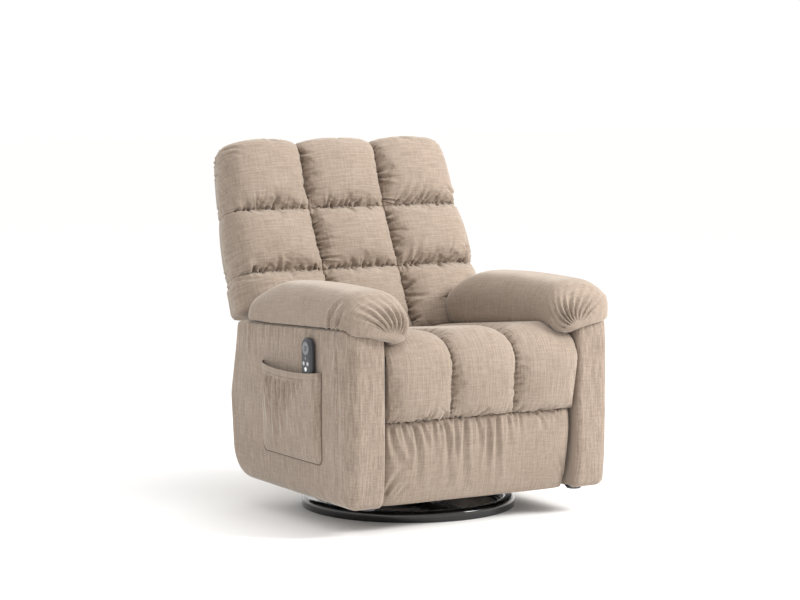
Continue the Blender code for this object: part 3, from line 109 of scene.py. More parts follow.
def camera():
    """A camera on a line that rises from the ring, aimed so that the ring shows low in the frame."""
    away = np.array([-math.sin(VIEW_TURN) * math.cos(VIEW_RISE),
                     -math.cos(VIEW_TURN) * math.cos(VIEW_RISE), math.sin(VIEW_RISE)])
    right = np.cross(-away, (0, 0, 1))
    right /= np.linalg.norm(right)
    above = np.cross(right, -away)
    aim = -away + AIM_RIGHT * right + AIM_ABOVE * above
    made = bpy.data.objects.new("photo_camera", bpy.data.cameras.new("photo_camera"))
    made.location = np.array([AXIS_X, AXIS_Y, RING_MIDDLE]) + VIEW_FAR * away
    made.rotation_mode = "QUATERNION"
    made.rotation_quaternion = Vector(aim).to_track_quat("-Z", "Y")
    made.data.lens, made.data.sensor_width = LENS, SENSOR
    bpy.context.scene.collection.objects.link(made)
    bpy.context.scene.camera = made
    return made


photo_camera = camera()
print("camera at", [round(v, 2) for v in photo_camera.location])

# %% [markdown]
# ## Floor and light
# A catalogue picture is lit by large soft boxes in a white room. A wide key from the front right, a
# box overhead, a weak fill from the left and a bright world keep the shadows soft, and the floor is
# plain and pale.


# %% Floor, world and soft boxes
def soft_box(name, place, target, size, power, tint):
    """A square area light at a place, turned towards a target."""
    lamp = bpy.data.objects.new(name, bpy.data.lights.new(name, "AREA"))
    lamp.data.shape, lamp.data.size = "SQUARE", size
    lamp.data.energy, lamp.data.color = power, tint
    lamp.location = place
    lamp.rotation_euler = (Vector(target) - Vector(place)).to_track_quat("-Z", "Y").to_euler()
    bpy.context.scene.collection.objects.link(lamp)
    return lamp


def white_world(strength):
    """Even white surroundings."""
    room = bpy.data.worlds.new("white_room")
    room.use_nodes = True
    glow = room.node_tree.nodes["Background"]
    glow.inputs["Color"].default_value = (1.0, 0.99, 0.975, 1)
    glow.inputs["Strength"].default_value = strength
    bpy.context.scene.world = room
    return room


def pale_floor(half):
    """A flat square of plain pale floor under the chair."""
    sheet = bpy.data.meshes.new("floor")
    sheet.from_pydata([(-half, -half, 0), (half, -half, 0), (half, half, 0), (-half, half, 0)], [],
                      [(0, 1, 2, 3)])
    made = bpy.data.objects.new("floor", sheet)
    bpy.context.scene.collection.objects.link(made)
    paint = bpy.data.materials.new("floor_paint")
    paint.use_nodes = True
    shader = paint.node_tree.nodes["Principled BSDF"]
    shader.inputs["Base Color"].default_value = (0.9, 0.9, 0.9, 1)
    shader.inputs["Roughness"].default_value = 0.9
    sheet.materials.append(paint)
    return made


white_world(1.12)
pale_floor(30.0)
soft_box("key_box", (2.5, -2.3, 2.4), (0, 0, 0.5), 1.3, 150, (1.0, 0.985, 0.96))
soft_box("fill_box", (-2.8, -2.0, 1.2), (0, 0, 0.5), 1.8, 6, (0.98, 0.99, 1.0))
soft_box("top_box", (0.5, -0.3, 3.2), (0, 0, 0.6), 1.5, 34, (1.0, 1.0, 1.0))
bpy.context.scene.view_settings.view_transform = "Standard"
print("studio: three soft boxes in a white room")

# %% [markdown]
# ## Surfaces as arrays
# Every soft piece is a grid of points. A grid can be closed round one way, like a sleeve, and its
# open ends can be closed with a cap. The weave needs to know how far along the cloth each point is,
# so the grid's own lengths are kept as a map in metres: one unit of the map is one metre of cloth.


# %% Grid helpers
def cloth_lengths(grid, wrapped, looped=False):
    """Running lengths over a grid, both ways in metres. Each is the sum of the steps between
    neighbouring points, counted from the middle row and the middle column; a wrapped direction
    gets one more column or row, which closes the round."""
    if wrapped:
        grid = np.concatenate([grid, grid[:, :1]], axis=1)
    if looped:
        grid = np.concatenate([grid, grid[:1]], axis=0)
    steps_over = np.linalg.norm(np.diff(grid, axis=0), axis=2)
    steps_across = np.linalg.norm(np.diff(grid, axis=1), axis=2)
    over = np.concatenate([np.zeros((1, grid.shape[1])), np.cumsum(steps_over, axis=0)])
    across = np.concatenate([np.zeros((grid.shape[0], 1)), np.cumsum(steps_across, axis=1)], axis=1)
    return across - across[:, grid.shape[1] // 2][:, None], over - over[grid.shape[0] // 2][None, :]


def piece_of(name, grid, look, wrapped=False, capped=False, looped=False, lengths=None):
    """A mesh from a grid of points: each cell is a quad between two rows and two columns. Wrapped
    joins the last column to the first, and looped the last row to the first. Capped closes the
    first and last rows with one polygon each, or, on a grid that isn't wrapped, its whole border."""
    rows, columns = grid.shape[:2]
    at = np.arange(rows * columns).reshape(rows, columns)
    net = np.concatenate([at, at[:, :1]], axis=1) if wrapped else at
    net = np.concatenate([net, net[:1]]) if looped else net
    quads = np.stack([net[:-1, :-1], net[:-1, 1:], net[1:, 1:], net[1:, :-1]], axis=-1).reshape(-1, 4)
    faces = quads.tolist()
    if capped and wrapped:
        faces += [at[0, ::-1].tolist(), at[-1].tolist()]
    elif capped:
        border = np.concatenate([at[0, :-1], at[:-1, -1], at[-1, :0:-1], at[:0:-1, 0]])
        faces.append(border[::-1].tolist())
    made = bpy.data.meshes.new(name)
    made.from_pydata(grid.reshape(-1, 3), [], faces)
    across, over = cloth_lengths(grid, wrapped, looped) if lengths is None else lengths
    spots = np.arange(across.size).reshape(across.shape)
    corners = np.stack([spots[:-1, :-1], spots[:-1, 1:], spots[1:, 1:], spots[1:, :-1]], axis=-1)
    flat = np.stack([across, over], axis=-1).reshape(-1, 2)[corners.reshape(-1)]
    extra = sum(len(face) for face in faces[len(quads):])
    weave = made.uv_layers.new(name="weave")
    weave.data.foreach_set("uv", np.concatenate([flat, np.zeros((extra, 2))]).ravel())
    made.shade_smooth()
    made.materials.append(look)
    made.validate()
    thing = bpy.data.objects.new(name, made)
    bpy.context.scene.collection.objects.link(thing)
    return thing


def doubled(grid, wrapped=False):
    """A grid with a new point between each two, on a smooth curve: each new point is nine
    sixteenths of its two neighbours less one sixteenth of the next two out."""
    for axis in (0, 1):
        grid = np.moveaxis(grid, axis, 0)
        if axis == 1 and wrapped:
            before, a, b, after = (np.roll(grid, k, 0) for k in (1, 0, -1, -2))
            middle = (9 * (a + b) - before - after) / 16
            grid = np.stack([a, middle], axis=1).reshape(-1, *grid.shape[1:])
        else:
            padded = np.concatenate([2 * grid[:1] - grid[1:2], grid, 2 * grid[-1:] - grid[-2:-1]])
            middle = (9 * (grid[:-1] + grid[1:]) - padded[:-3] - padded[3:]) / 16
            mixed = np.stack([grid[:-1], middle], axis=1).reshape(-1, *grid.shape[1:])
            grid = np.concatenate([mixed, grid[-1:]])
        grid = np.moveaxis(grid, 0, axis)
    return grid


def facing(grid, wrapped=False):
    """Unit normals of a grid: the cross product of its steps across and its steps over."""
    over = np.gradient(grid, axis=0)
    if wrapped:
        across = (np.roll(grid, -1, 1) - np.roll(grid, 1, 1)) / 2
    else:
        across = np.gradient(grid, axis=1)
    normal = np.cross(across, over)
    return normal / np.maximum(np.linalg.norm(normal, axis=2, keepdims=True), 1e-9)


def crown(t, power):
    """Swell between two seams, for t from -1 to 1: (1 - t squared) to a power under one half makes a
    tightly stuffed cushion with steep sides."""
    return np.clip(1 - np.asarray(t) ** 2, 0, 1) ** power


def between(values, seams):
    """Where each value lies between the two seams beside it, from -1 to 1."""
    seams = np.asarray(seams, float)
    cell = np.clip(np.searchsorted(seams, values, side="right") - 1, 0, len(seams) - 2)
    return 2 * (values - seams[cell]) / (seams[cell + 1] - seams[cell]) - 1


print("grid helpers ready")

# %% [markdown]
# ## Gathers
# Where a seam is sewn shorter than the cloth, the cloth stands up in gathers: creases that start
# sharp on the seam, fan out and die away. Each crease here has a place on the seam, a length, a
# lean, a width and a depth, drawn from a seeded random source so the chair is the same each time.


# %% Gathers
def crease(q):
    """Cross-section of one crease, q widths from its bottom: a sharp valley between soft ridges."""
    return -np.exp(-np.abs(q) ** 1.35) + 0.55 * np.exp(-((np.abs(q) - 1.75) ** 2) / 0.55)


def gathers(seed, spans, spacing, length, width, depth, lean=0.0):
    """A table of creases along a seam: one row each of place, length, lean, width and depth. They
    stand about one spacing apart, and the other figures vary by half round their mean."""
    chance = np.random.default_rng(seed)
    places = np.concatenate([np.arange(a + spacing / 2, b, spacing) for a, b in spans])
    places = places + chance.uniform(-0.4, 0.4, places.size) * spacing
    vary = chance.uniform(0.45, 1.55, (3, places.size))
    leans = lean * np.sign(chance.uniform(-1, 1, places.size)) * chance.uniform(0.2, 1, places.size)
    return np.stack([places, length * vary[0] ** 1.5, leans, width * vary[1], depth * vary[2]], axis=1)


def gathered(along, off, table):
    """Height that the creases of a table add at points that lie along and off the seam. Each crease
    counts its depth, times how much of its length is left, times the crease section at the
    distance from its leaning line, which widens away from the seam."""
    height = np.zeros(np.broadcast(along, off).shape)
    for place, length, lean, width, depth in table:
        left = np.clip(1 - off / length, 0, 1)
        widened = width * (0.55 + 0.9 * np.clip(off / length, 0, 1))
        height += depth * left**1.3 * crease((along - place - lean * off) / widened) * (off >= 0)
    return height


print("gathers ready")

# %% [markdown]
# ## Finishes
# The cover is a chenille-like velvet: thick soft yarns of uneven thickness, woven both ways, so light
# and dark slubs run across and along the cloth and the pile catches light at a glancing angle. It is
# two stretched noises on the cloth's own map, with sheen for the pile. A printed pattern would look
# flat here, because the slubs also stand up and have to cast tiny shadows.


# %% Material helpers
def finish(name, colour, rough, **more):
    """A new Principled material with its fixed values on the shader's own sockets."""
    look = bpy.data.materials.new(name)
    look.use_nodes = True
    shader = look.node_tree.nodes["Principled BSDF"]
    shader.inputs["Base Color"].default_value = (*colour, 1)
    shader.inputs["Roughness"].default_value = rough
    for socket, value in more.items():
        shader.inputs[socket.replace("_", " ")].default_value = value
    return look


def add_node(look, kind, inputs=None, **settings):
    """One node with its settings, and its inputs either set to a value or linked from a socket."""
    made = look.node_tree.nodes.new(kind)
    for key, value in settings.items():
        setattr(made, key, value)
    for key, value in (inputs or {}).items():
        if isinstance(value, bpy.types.NodeSocket):
            look.node_tree.links.new(value, made.inputs[key])
        else:
            made.inputs[key].default_value = value
    return made


def streaks(look, where, scale, detail=2.0, rough=0.55):
    """Noise stretched by a mapping's scale: long and thin where one scale is small."""
    stretched = add_node(look, "ShaderNodeMapping", {"Vector": where, "Scale": scale})
    noise = {"Vector": stretched.outputs["Vector"], "Scale": 1.0, "Detail": detail, "Roughness": rough}
    return add_node(look, "ShaderNodeTexNoise", noise).outputs["Fac"]


def raised(look, height, distance, strength=1.0, under=None):
    """Bump from a height, on top of another bump."""
    inputs = {"Height": height, "Distance": distance, "Strength": strength}
    if under is not None:
        inputs["Normal"] = under
    return add_node(look, "ShaderNodeBump", inputs).outputs["Normal"]


def wire(look, socket, source):
    """Link a source to a socket of the material's shader."""
    look.node_tree.links.new(source, look.node_tree.nodes["Principled BSDF"].inputs[socket])


print("material helpers ready")


# %% Chenille cover
def mixed_colour(look, amount, dark, light):
    """Dark at 0, light at 1."""
    mix = add_node(look, "ShaderNodeMix", data_type="RGBA")
    look.node_tree.links.new(amount, mix.inputs[0])
    mix.inputs[6].default_value, mix.inputs[7].default_value = (*dark, 1), (*light, 1)
    return mix.outputs[2]


def multiplied(look, a, b):
    """Two colours multiplied."""
    mix = add_node(look, "ShaderNodeMix", data_type="RGBA", blend_type="MULTIPLY")
    mix.inputs[0].default_value = 1.0
    look.node_tree.links.new(a, mix.inputs[6])
    look.node_tree.links.new(b, mix.inputs[7])
    return mix.outputs[2]


def ranged(look, amount, low, high, to_low=0.0, to_high=1.0):
    """An amount brought from one range to another, and held inside it."""
    limits = {"From Min": low, "From Max": high, "To Min": to_low, "To Max": to_high}
    return add_node(look, "ShaderNodeMapRange", {"Value": amount, **limits}).outputs["Result"]


def summed(look, a, b):
    """Two amounts added."""
    return add_node(look, "ShaderNodeMath", {0: a, 1: b}, operation="ADD").outputs["Value"]


def chenille(name, dark, light, weft=1.0, warp=1.0):
    """Velvet of uneven yarns. Slubs are noises on the cloth's map, some stretched across and some
    along, long soft ones over short fine ones. They tint the yarn between dark and light and raise
    it by a third of a millimetre. A broad noise paints shade in patches where the pile lies over,
    up to a tenth darker, and sheen brightens it at a glancing angle."""
    look = finish(name, light, 0.88, Specular_IOR_Level=0.15, Sheen_Weight=0.42, Sheen_Roughness=0.4,
                  Sheen_Tint=(1.0, 0.95, 0.88, 1))
    cloth = add_node(look, "ShaderNodeUVMap", uv_map="weave").outputs["UV"]
    fine = 0.7
    total = None
    for scale, low, high, share in (((16, 240, 1), 0.36, 0.66, weft), ((240, 16, 1), 0.36, 0.66, warp),
                                    ((60, 520, 1), 0.33, 0.67, fine), ((520, 60, 1), 0.33, 0.67, fine)):
        part = ranged(look, streaks(look, cloth, scale), low, high, 0.0, share)
        total = part if total is None else summed(look, total, part)
    full = weft + warp + 2 * fine
    # Painted shade: a broad noise darkens the colour by up to a tenth in patches where the pile lies
    # over.
    pile_shade_noise = streaks(look, cloth, (6, 8, 1), detail=3.0)
    nap = streaks(look, cloth, (1500, 1500, 1), detail=1.0)
    tone = mixed_colour(look, ranged(look, total, 0.24 * full, 0.76 * full), dark, light)
    pile_shade = mixed_colour(look, ranged(look, pile_shade_noise, 0.35, 0.65), (0.93, 0.915, 0.90), (1, 1, 1))
    wire(look, "Base Color", multiplied(look, tone, pile_shade))
    coarse = raised(look, total, 0.00030, 0.5)
    wire(look, "Normal", raised(look, nap, 0.00012, 0.5, coarse))
    wire(look, "Roughness", ranged(look, total, 0.2 * full, 0.8 * full, 0.94, 0.82))
    return look


DARK_YARN, LIGHT_YARN = (0.238, 0.190, 0.152), (0.328, 0.264, 0.215)
cover = chenille("chenille_cover", DARK_YARN, LIGHT_YARN, weft=1.1, warp=0.7)
DARK_SIDE, LIGHT_SIDE = (0.226, 0.180, 0.145), (0.352, 0.284, 0.232)
cover_upright = chenille("chenille_arms", DARK_SIDE, LIGHT_SIDE, weft=0.5, warp=1.4)
print("covers:", cover.name, cover_upright.name)

# %% [markdown]
# ## Metal, wood and plastic
# The ring is powder coated and glossy, with the faint orange peel that such paint keeps. The stamped
# plates are satin dark grey, the tubes and rods bright zinc, the rails plain plywood, and the
# handset a fine grained black plastic. These read the object's own coordinates: they don't bend.


# %% Hard finishes
def place_in(look):
    """The place in the object's own coordinates."""
    return add_node(look, "ShaderNodeTexCoord").outputs["Object"]


def gloss_black(name):
    """Powder coat: near black, glossy, with a faint wide orange peel and a little dust."""
    look = finish(name, (0.006, 0.006, 0.007), 0.14, Coat_Weight=0.35, Coat_Roughness=0.06)
    peel = streaks(look, place_in(look), (260, 260, 260), detail=1.0)
    dust = streaks(look, place_in(look), (14, 14, 14), detail=4.0)
    wire(look, "Roughness", ranged(look, dust, 0.4, 0.7, 0.11, 0.2))
    wire(look, "Normal", raised(look, peel, 0.00006, 0.35))
    return look


def satin_steel(name):
    """Stamped steel with a thin dark coat: satin, finely grained, a little paler where it has rubbed."""
    look = finish(name, (0.05, 0.05, 0.054), 0.42, Metallic=0.35)
    grain = streaks(look, place_in(look), (700, 700, 700), detail=2.0)
    rubbed = streaks(look, place_in(look), (22, 22, 22), detail=5.0)
    tone = mixed_colour(look, ranged(look, rubbed, 0.55, 0.75), (0.045, 0.045, 0.049), (0.1, 0.1, 0.105))
    wire(look, "Base Color", tone)
    wire(look, "Roughness", ranged(look, grain, 0.3, 0.7, 0.36, 0.5))
    wire(look, "Normal", raised(look, grain, 0.00004, 0.4))
    return look


def zinc(name):
    """Bright zinc plate: bluish grey metal with a faint yellow cast in patches and fine brushing."""
    look = finish(name, (0.6, 0.61, 0.62), 0.3, Metallic=1.0)
    patch = streaks(look, place_in(look), (18, 18, 18), detail=3.0)
    brushed = streaks(look, place_in(look), (60, 1200, 1200), detail=2.0)
    tone = mixed_colour(look, ranged(look, patch, 0.35, 0.7), (0.56, 0.58, 0.61), (0.66, 0.64, 0.57))
    wire(look, "Base Color", tone)
    wire(look, "Roughness", ranged(look, brushed, 0.3, 0.7, 0.24, 0.4))
    wire(look, "Normal", raised(look, brushed, 0.00003, 0.4))
    return look


def sanded_ply(name):
    """Plywood face: long pale and brown grain along the piece, with finer pores."""
    look = finish(name, (0.58, 0.42, 0.26), 0.62)
    grain = streaks(look, place_in(look), (5, 90, 90), detail=4.0, rough=0.65)
    pores = streaks(look, place_in(look), (60, 1400, 1400), detail=2.0)
    tone = mixed_colour(look, ranged(look, grain, 0.3, 0.7), (0.46, 0.31, 0.17), (0.68, 0.52, 0.34))
    speck = mixed_colour(look, ranged(look, pores, 0.3, 0.5), (0.78, 0.74, 0.7), (1, 1, 1))
    wire(look, "Base Color", multiplied(look, tone, speck))
    wire(look, "Normal", raised(look, pores, 0.00008, 0.5))
    return look


def grained_plastic(name, colour, rough):
    """Moulded plastic: one colour, with a fine spark grain that breaks up its shine."""
    look = finish(name, colour, rough)
    grain = streaks(look, place_in(look), (2200, 2200, 2200), detail=1.0)
    wear = streaks(look, place_in(look), (60, 60, 60), detail=4.0)
    pale = tuple(min(1.0, c * 1.25 + 0.004) for c in colour)
    wire(look, "Base Color", mixed_colour(look, ranged(look, wear, 0.45, 0.8), colour, pale))
    wire(look, "Roughness", ranged(look, wear, 0.3, 0.7, rough - 0.06, rough + 0.06))
    wire(look, "Normal", raised(look, grain, 0.00003, 0.5))
    return look


looks = {
    "upholstery": cover,
    "black_paint": gloss_black("ring_gloss_black"),
    "dark_steel": satin_steel("stamped_steel"),
    "zinc_steel": zinc("bright_zinc"),
    "plywood": sanded_ply("sanded_plywood"),
    "black_plastic": grained_plastic("handset_plastic", (0.028, 0.029, 0.033), 0.36),
    "key_white": grained_plastic("lit_key", (0.78, 0.8, 0.82), 0.25),
}
print("finishes:", ", ".join(looks))

# %% [markdown]
# ## The frame's own pieces
# The mechanism already has its true shapes, so each steel, wood and plastic node of the frame only
# gets the finish that the record names for it.

# %% Finish each node
slot_of = {part["node"]: part["material_slot"] for part in frame["record"]["subparts"]}
for name, node in frame["nodes"].items():
    look = looks[slot_of[name]]
    if not node.material_slots:
        node.data.materials.append(look)
    for place in node.material_slots:
        place.material = look
print("finished", len(slot_of), "nodes")

# %% [markdown]
# ## How cloth swells
# A stuffed panel is held along its seams and pushed out everywhere else. Cloth simulation does just
# that: the seams are pinned, a steady pressure acts from inside, and the cloth is cut a few percent
# too large, so it also finds its own small slack. Only the resting shape is kept.


# %% Inflating a panel
SWELL_STEPS = 20


def swollen(grid, sewn, cap, wrapped=False, pressure=4.0, slack=0.03):
    """The grid after some steps of pressure, with the sewn points held. No point moves further
    than the cap, so that the panel keeps clear of its neighbours."""
    probe = piece_of("swelling_panel", grid, cover, wrapped)
    seams = probe.vertex_groups.new(name="sewn")
    seams.add(np.flatnonzero(np.broadcast_to(sewn, grid.shape[:2])).tolist(), 1.0, "REPLACE")
    swell = probe.modifiers.new("swell", "CLOTH")
    swell.settings.vertex_group_mass = "sewn"
    swell.settings.use_pressure = True
    swell.settings.uniform_pressure_force = pressure
    swell.settings.shrink_min = -slack
    swell.settings.effector_weights.gravity = 0.0
    swell.collision_settings.use_collision = False
    for moment in range(1, SWELL_STEPS + 1):
        bpy.context.scene.frame_set(moment)
    rested = probe.evaluated_get(bpy.context.evaluated_depsgraph_get()).data
    spots = np.empty(len(rested.vertices) * 3, np.float32)
    rested.vertices.foreach_get("co", spots)
    bpy.data.objects.remove(probe)
    bpy.context.scene.frame_set(1)
    step = spots.astype(float).reshape(grid.shape) - grid
    far = np.linalg.norm(step, axis=2, keepdims=True)
    print("  swelled up to", round(float(far.max()) * 1000, 1), "mm")
    return grid + step * np.minimum(1, cap / np.maximum(far, 1e-9))


def spread(steps):
    """Shares from 0 to 1, closer together near both ends: half even steps, half cosine steps."""
    t = np.arange(steps) / steps
    return 0.5 * t + 0.5 * (1 - np.cos(np.pi * t)) / 2


def stations(seams, steps):
    """Stations through every seam, spread in each space between two."""
    parts = [a + (b - a) * spread(steps) for a, b in zip(seams, seams[1:])]
    return np.append(np.concatenate(parts), seams[-1])


def smooth(t):
    """Smooth step from 0 to 1."""
    t = np.clip(t, 0, 1)
    return t * t * (3 - 2 * t)


def eased(share, power, root):
    """Rounded rise from 0 to 1, steep at first: one less the power of what is left, then its root."""
    return (1 - (1 - np.clip(share, 0, 1)) ** power) ** (1 / root)


def raised_by(grid, height, wrapped=False):
    """The grid moved along its own normals by a height at each point."""
    return grid + facing(grid, wrapped) * np.asarray(height)[..., None]


print("panels can swell")

# %% [markdown]
# ## Long folds
# Besides gathers, cloth lies in a few long folds that run where the pull runs. Each is a curve on
# the flat cloth with a soft valley along it and a ridge on either side.


# %% Folds
def folded(across, off, table):
    """Height that long folds add on flat cloth. Each row of the table gives a fold's start and end,
    the bend of its middle, its width and its depth. A point's height is the depth, times a fade to
    the fold's end, times the crease section at the point's distance from the fold's curve."""
    across, off = np.broadcast_arrays(across, off)
    height = np.zeros(across.shape)
    t = np.linspace(0, 1, 13)[:, None]
    for a0, o0, a1, o1, bend, width, depth in table:
        start, way = np.array((a0, o0)), np.array((a1 - a0, o1 - o0))
        aside = np.array((-way[1], way[0])) / np.hypot(*way)
        path = start + t * way + 4 * t * (1 - t) * bend * aside
        low, high = path.min(axis=0) - 4 * width, path.max(axis=0) + 4 * width
        near = (across > low[0]) & (across < high[0]) & (off > low[1]) & (off < high[1])
        spot = np.stack([across[near], off[near]], axis=1)[:, None]
        leg = np.diff(path, axis=0)
        share = np.clip(((spot - path[:-1]) * leg).sum(2) / (leg**2).sum(1), 0, 1)
        far = np.linalg.norm(spot - path[:-1] - share[..., None] * leg, axis=2)
        best = far.argmin(axis=1)
        rows = np.arange(len(best))
        run = (best + share[rows, best]) / len(leg)
        fade = (1 - run) ** 0.7 * smooth(run * 12)
        height[near] += depth * fade * crease(far[rows, best] / (width * (0.5 + 0.8 * run)))
    return height


print("folds ready")

# %% [markdown]
# ## Tufted back
# The back cushion is nine pillows in three columns and three rows. The seams between the columns
# are pulled deep, so each column rolls down into a dark crease; the seams between the rows are
# shallower and gathered. It could be nine separate cushions, but the cloth runs on from one to the
# next, so it is one grid: crowns across times crowns along, over a base that follows the seams.

# %% Back outline
SPINE = (0.086, 0.069, 0.051, 0.056)
SPINE_PULL = 0.014
BETWEEN_ARMS = 0.2945
WING_STARTS, WING_WIDE, TOP_DRAW = 0.110, 0.399, 0.036


def wing(along):
    """Half width of the back: narrow between the arms, then a rounded lobe out to the full width,
    which draws in a little towards the top and rounds off at its corner."""
    lobe = eased((along - WING_STARTS) / 0.026, 3, 3)
    fall = np.clip((along - ROWS[1]) / (BACK_TALL - ROWS[1]), 0, 1)
    corner = np.clip((BACK_TALL - along) / 0.040, 0, 1)
    full = WING_WIDE - TOP_DRAW * fall**1.5 - 0.030 * (1 - np.sqrt(1 - (1 - corner) ** 2.6))
    return BETWEEN_ARMS + (full - BETWEEN_ARMS) * lobe


def column_places(along, steps):
    """Across position and place within its column, from -1 to 1, for every station across."""
    share = spread(steps)
    wide = wing(along)[:, None]
    outer, inner = COLUMN_SEAM + (wide - COLUMN_SEAM) * np.append(share, 1), share * 2 - 1
    middle = np.broadcast_to(COLUMN_SEAM * inner, (len(along), steps))
    across = np.concatenate([-outer[:, ::-1], middle[:, 1:], outer], axis=1)
    out_t = np.append(inner, 1)
    return across, np.concatenate([out_t[::-1], inner[1:], out_t])


print("back is", round(2000 * float(wing(np.array([0.3]))[0])), "mm wide")


# %% Back cushion
TUFT_ROWS, TUFT_COLUMNS, WRAP = 44, 46, 8
TUFT_CROWN, ROW_SEAM_CROWN = 0.050, 0.30


def back_tufts(row_steps, column_steps):
    """Grid of the tufted front. How far out each point stands is the seam's depth, let down round
    the outer edge, plus a crown across times a crown along. A seam between columns stays at the
    seam's depth; one between rows keeps a little of the crown."""
    rows = (*ROWS, BACK_TALL)
    along = stations(rows, row_steps)
    across, in_column = column_places(along, column_steps)
    side = np.zeros(len(in_column), bool)
    side[:column_steps] = side[-column_steps:] = True
    in_row = between(along, rows)[:, None]
    top = (along > rows[2])[:, None]
    edge = np.clip(np.where(side, in_column, 0), 0, 1)
    crest = np.clip(np.where(top, in_row, 0), 0, 1)
    columns = np.where((in_column > 0) & side, (1 - edge**3.0) ** 0.5, crown(in_column, 0.42))
    tiers = np.where((in_row > 0) & top, (1 - crest**3.2) ** 0.5, crown(in_row, 0.38))
    depth = (np.interp(along, rows, SPINE) - SPINE_PULL)[:, None]
    out = depth * (1 - 0.9 * edge**5) ** 0.5 * (1 - 0.9 * crest**4) ** 0.5
    out = out + TUFT_CROWN * columns * (ROW_SEAM_CROWN + (1 - ROW_SEAM_CROWN) * tiers)
    drop = 0.020 * (1 - crown(in_column, 0.5)) * (1 - edge) + 0.010 * edge**2
    rise = np.clip((along - rows[2]) / (rows[3] - rows[2]), 0, 1)[:, None]
    scallop = 1 - 0.018 * (1 - crown(in_row, 0.5)) * (along > 0.2)[:, None] * edge
    return across * scallop, np.broadcast_to(along[:, None] - drop * rise**3, out.shape), out


SIDE_BEHIND, TOP_BEHIND, TUCKED = 0.046, 0.034, -0.0008


def wrapped_behind(across, along, out):
    """The front carried on round its sides and its top to just behind the frame, then tucked in
    flat. Each added line keeps its place on the edge, goes back in even steps, and draws in by the
    square of its share; between the arms, where the back is narrow, they end at the frame's face."""
    share = np.append(np.arange(1, WRAP) / (WRAP - 1), 2)
    tuck, h = share > 1, np.minimum(share, 1)
    wide = np.clip((np.abs(across[:, -1:]) - BETWEEN_ARMS) / 0.06, 0, 1)
    draw = np.where(tuck, 0.045, 0.012 * h**2) * wide
    for last, sign in ((-1, 1), (0, -1)):
        x = across[:, [last]] - sign * draw
        a = np.repeat(along[:, [last]], WRAP, axis=1)
        o = np.where(tuck, TUCKED, out[:, [last]] * (1 - h) - SIDE_BEHIND * wide * h)
        across, along, out = (np.concatenate([old, new] if sign > 0 else [new[:, ::-1], old], axis=1)
                              for old, new in ((across, x), (along, a), (out, o)))
    tuck, h = tuck[:, None], h[:, None]
    x = np.repeat(across[-1:], WRAP, axis=0)
    a = along[-1:] - np.where(tuck, 0.040, 0.012 * h**2)
    o = np.where(tuck, TUCKED, np.minimum(out[-1:], out[-1:] * (1 - h) - TOP_BEHIND * h))
    return tuple(np.concatenate(pair) for pair in ((across, x), (along, a), (out, o)))


tuft_map = wrapped_behind(*back_tufts(TUFT_ROWS, TUFT_COLUMNS))
tufts = on_back(*tuft_map)
print("tufts:", tufts.shape[:2], "points")


# %% Sew the back cushion
def sewn_lines(shape, rows, columns):
    """True on the border of a grid and along the given rows and columns."""
    held = np.zeros(shape, bool)
    held[[0, -1], :] = held[:, [0, -1]] = True
    held[list(rows), :] = held[:, list(columns)] = True
    return held


tuft_columns = [WRAP + TUFT_COLUMNS, WRAP + 2 * TUFT_COLUMNS]
tuft_seams = sewn_lines(tufts.shape[:2], (TUFT_ROWS, 2 * TUFT_ROWS), tuft_columns)
tuft_seams[:, :WRAP - 2] = tuft_seams[:, 2 - WRAP:] = tuft_seams[2 - WRAP:] = True
tufts = doubled(swollen(tufts, tuft_seams, 0.015))
tuft_map = [doubled(part[..., None])[..., 0] for part in tuft_map]
print("back swollen:", tufts.shape[:2], "points")


# %% Gathers of the back
def tuft_gathers(grid, across, along):
    """Height of the back's gathers. Over and under each row seam, creases stand on the seam; beside
    each column seam they run square to it, short and shallow. Lengths are measured on the cloth."""
    run_across, run_over = cloth_lengths(grid, False)
    height = np.zeros(across.shape)
    columns = ((-0.365, -0.137), (-0.113, 0.113), (0.137, 0.362))
    for k in (1, 2):
        row = 2 * k * TUFT_ROWS
        off = run_over - run_over[row]
        for n, (span, lean, long) in enumerate(zip(columns, (0.25, 0.3, 0.9), (0.034, 0.026, 0.046))):
            inside = (across > span[0] - 0.012) & (across < span[1] + 0.012)
            above = gathers(40 + 7 * k + n, [span], 0.0175, 1.35 * long, 0.0064, 0.0090, lean)
            above[:, 2] = np.abs(above[:, 2]) * (1 if n == 2 else np.sign(above[:, 2]))
            below = gathers(60 + 7 * k + n, [span], 0.0150, 0.028, 0.0054, 0.0052, 0.3)
            height += inside * (gathered(across, off, above) + gathered(across, -off, below))
    for k, column in enumerate(tuft_columns):
        off = run_across - run_across[:, 2 * column][:, None]
        for n, span in enumerate(((0.05, 0.212), (0.238, 0.402), (0.428, 0.60))):
            inside = (along > span[0] - 0.01) & (along < span[1] + 0.01)
            right = gathers(80 + 5 * k + n, [span], 0.0175, 0.050, 0.0062, 0.0078, 0.35)
            left = gathers(95 + 5 * k + n, [span], 0.0140, 0.018, 0.0044, 0.0030, 0.3)
            height += inside * (gathered(along, off, right) + gathered(along, -off, left))
    return height


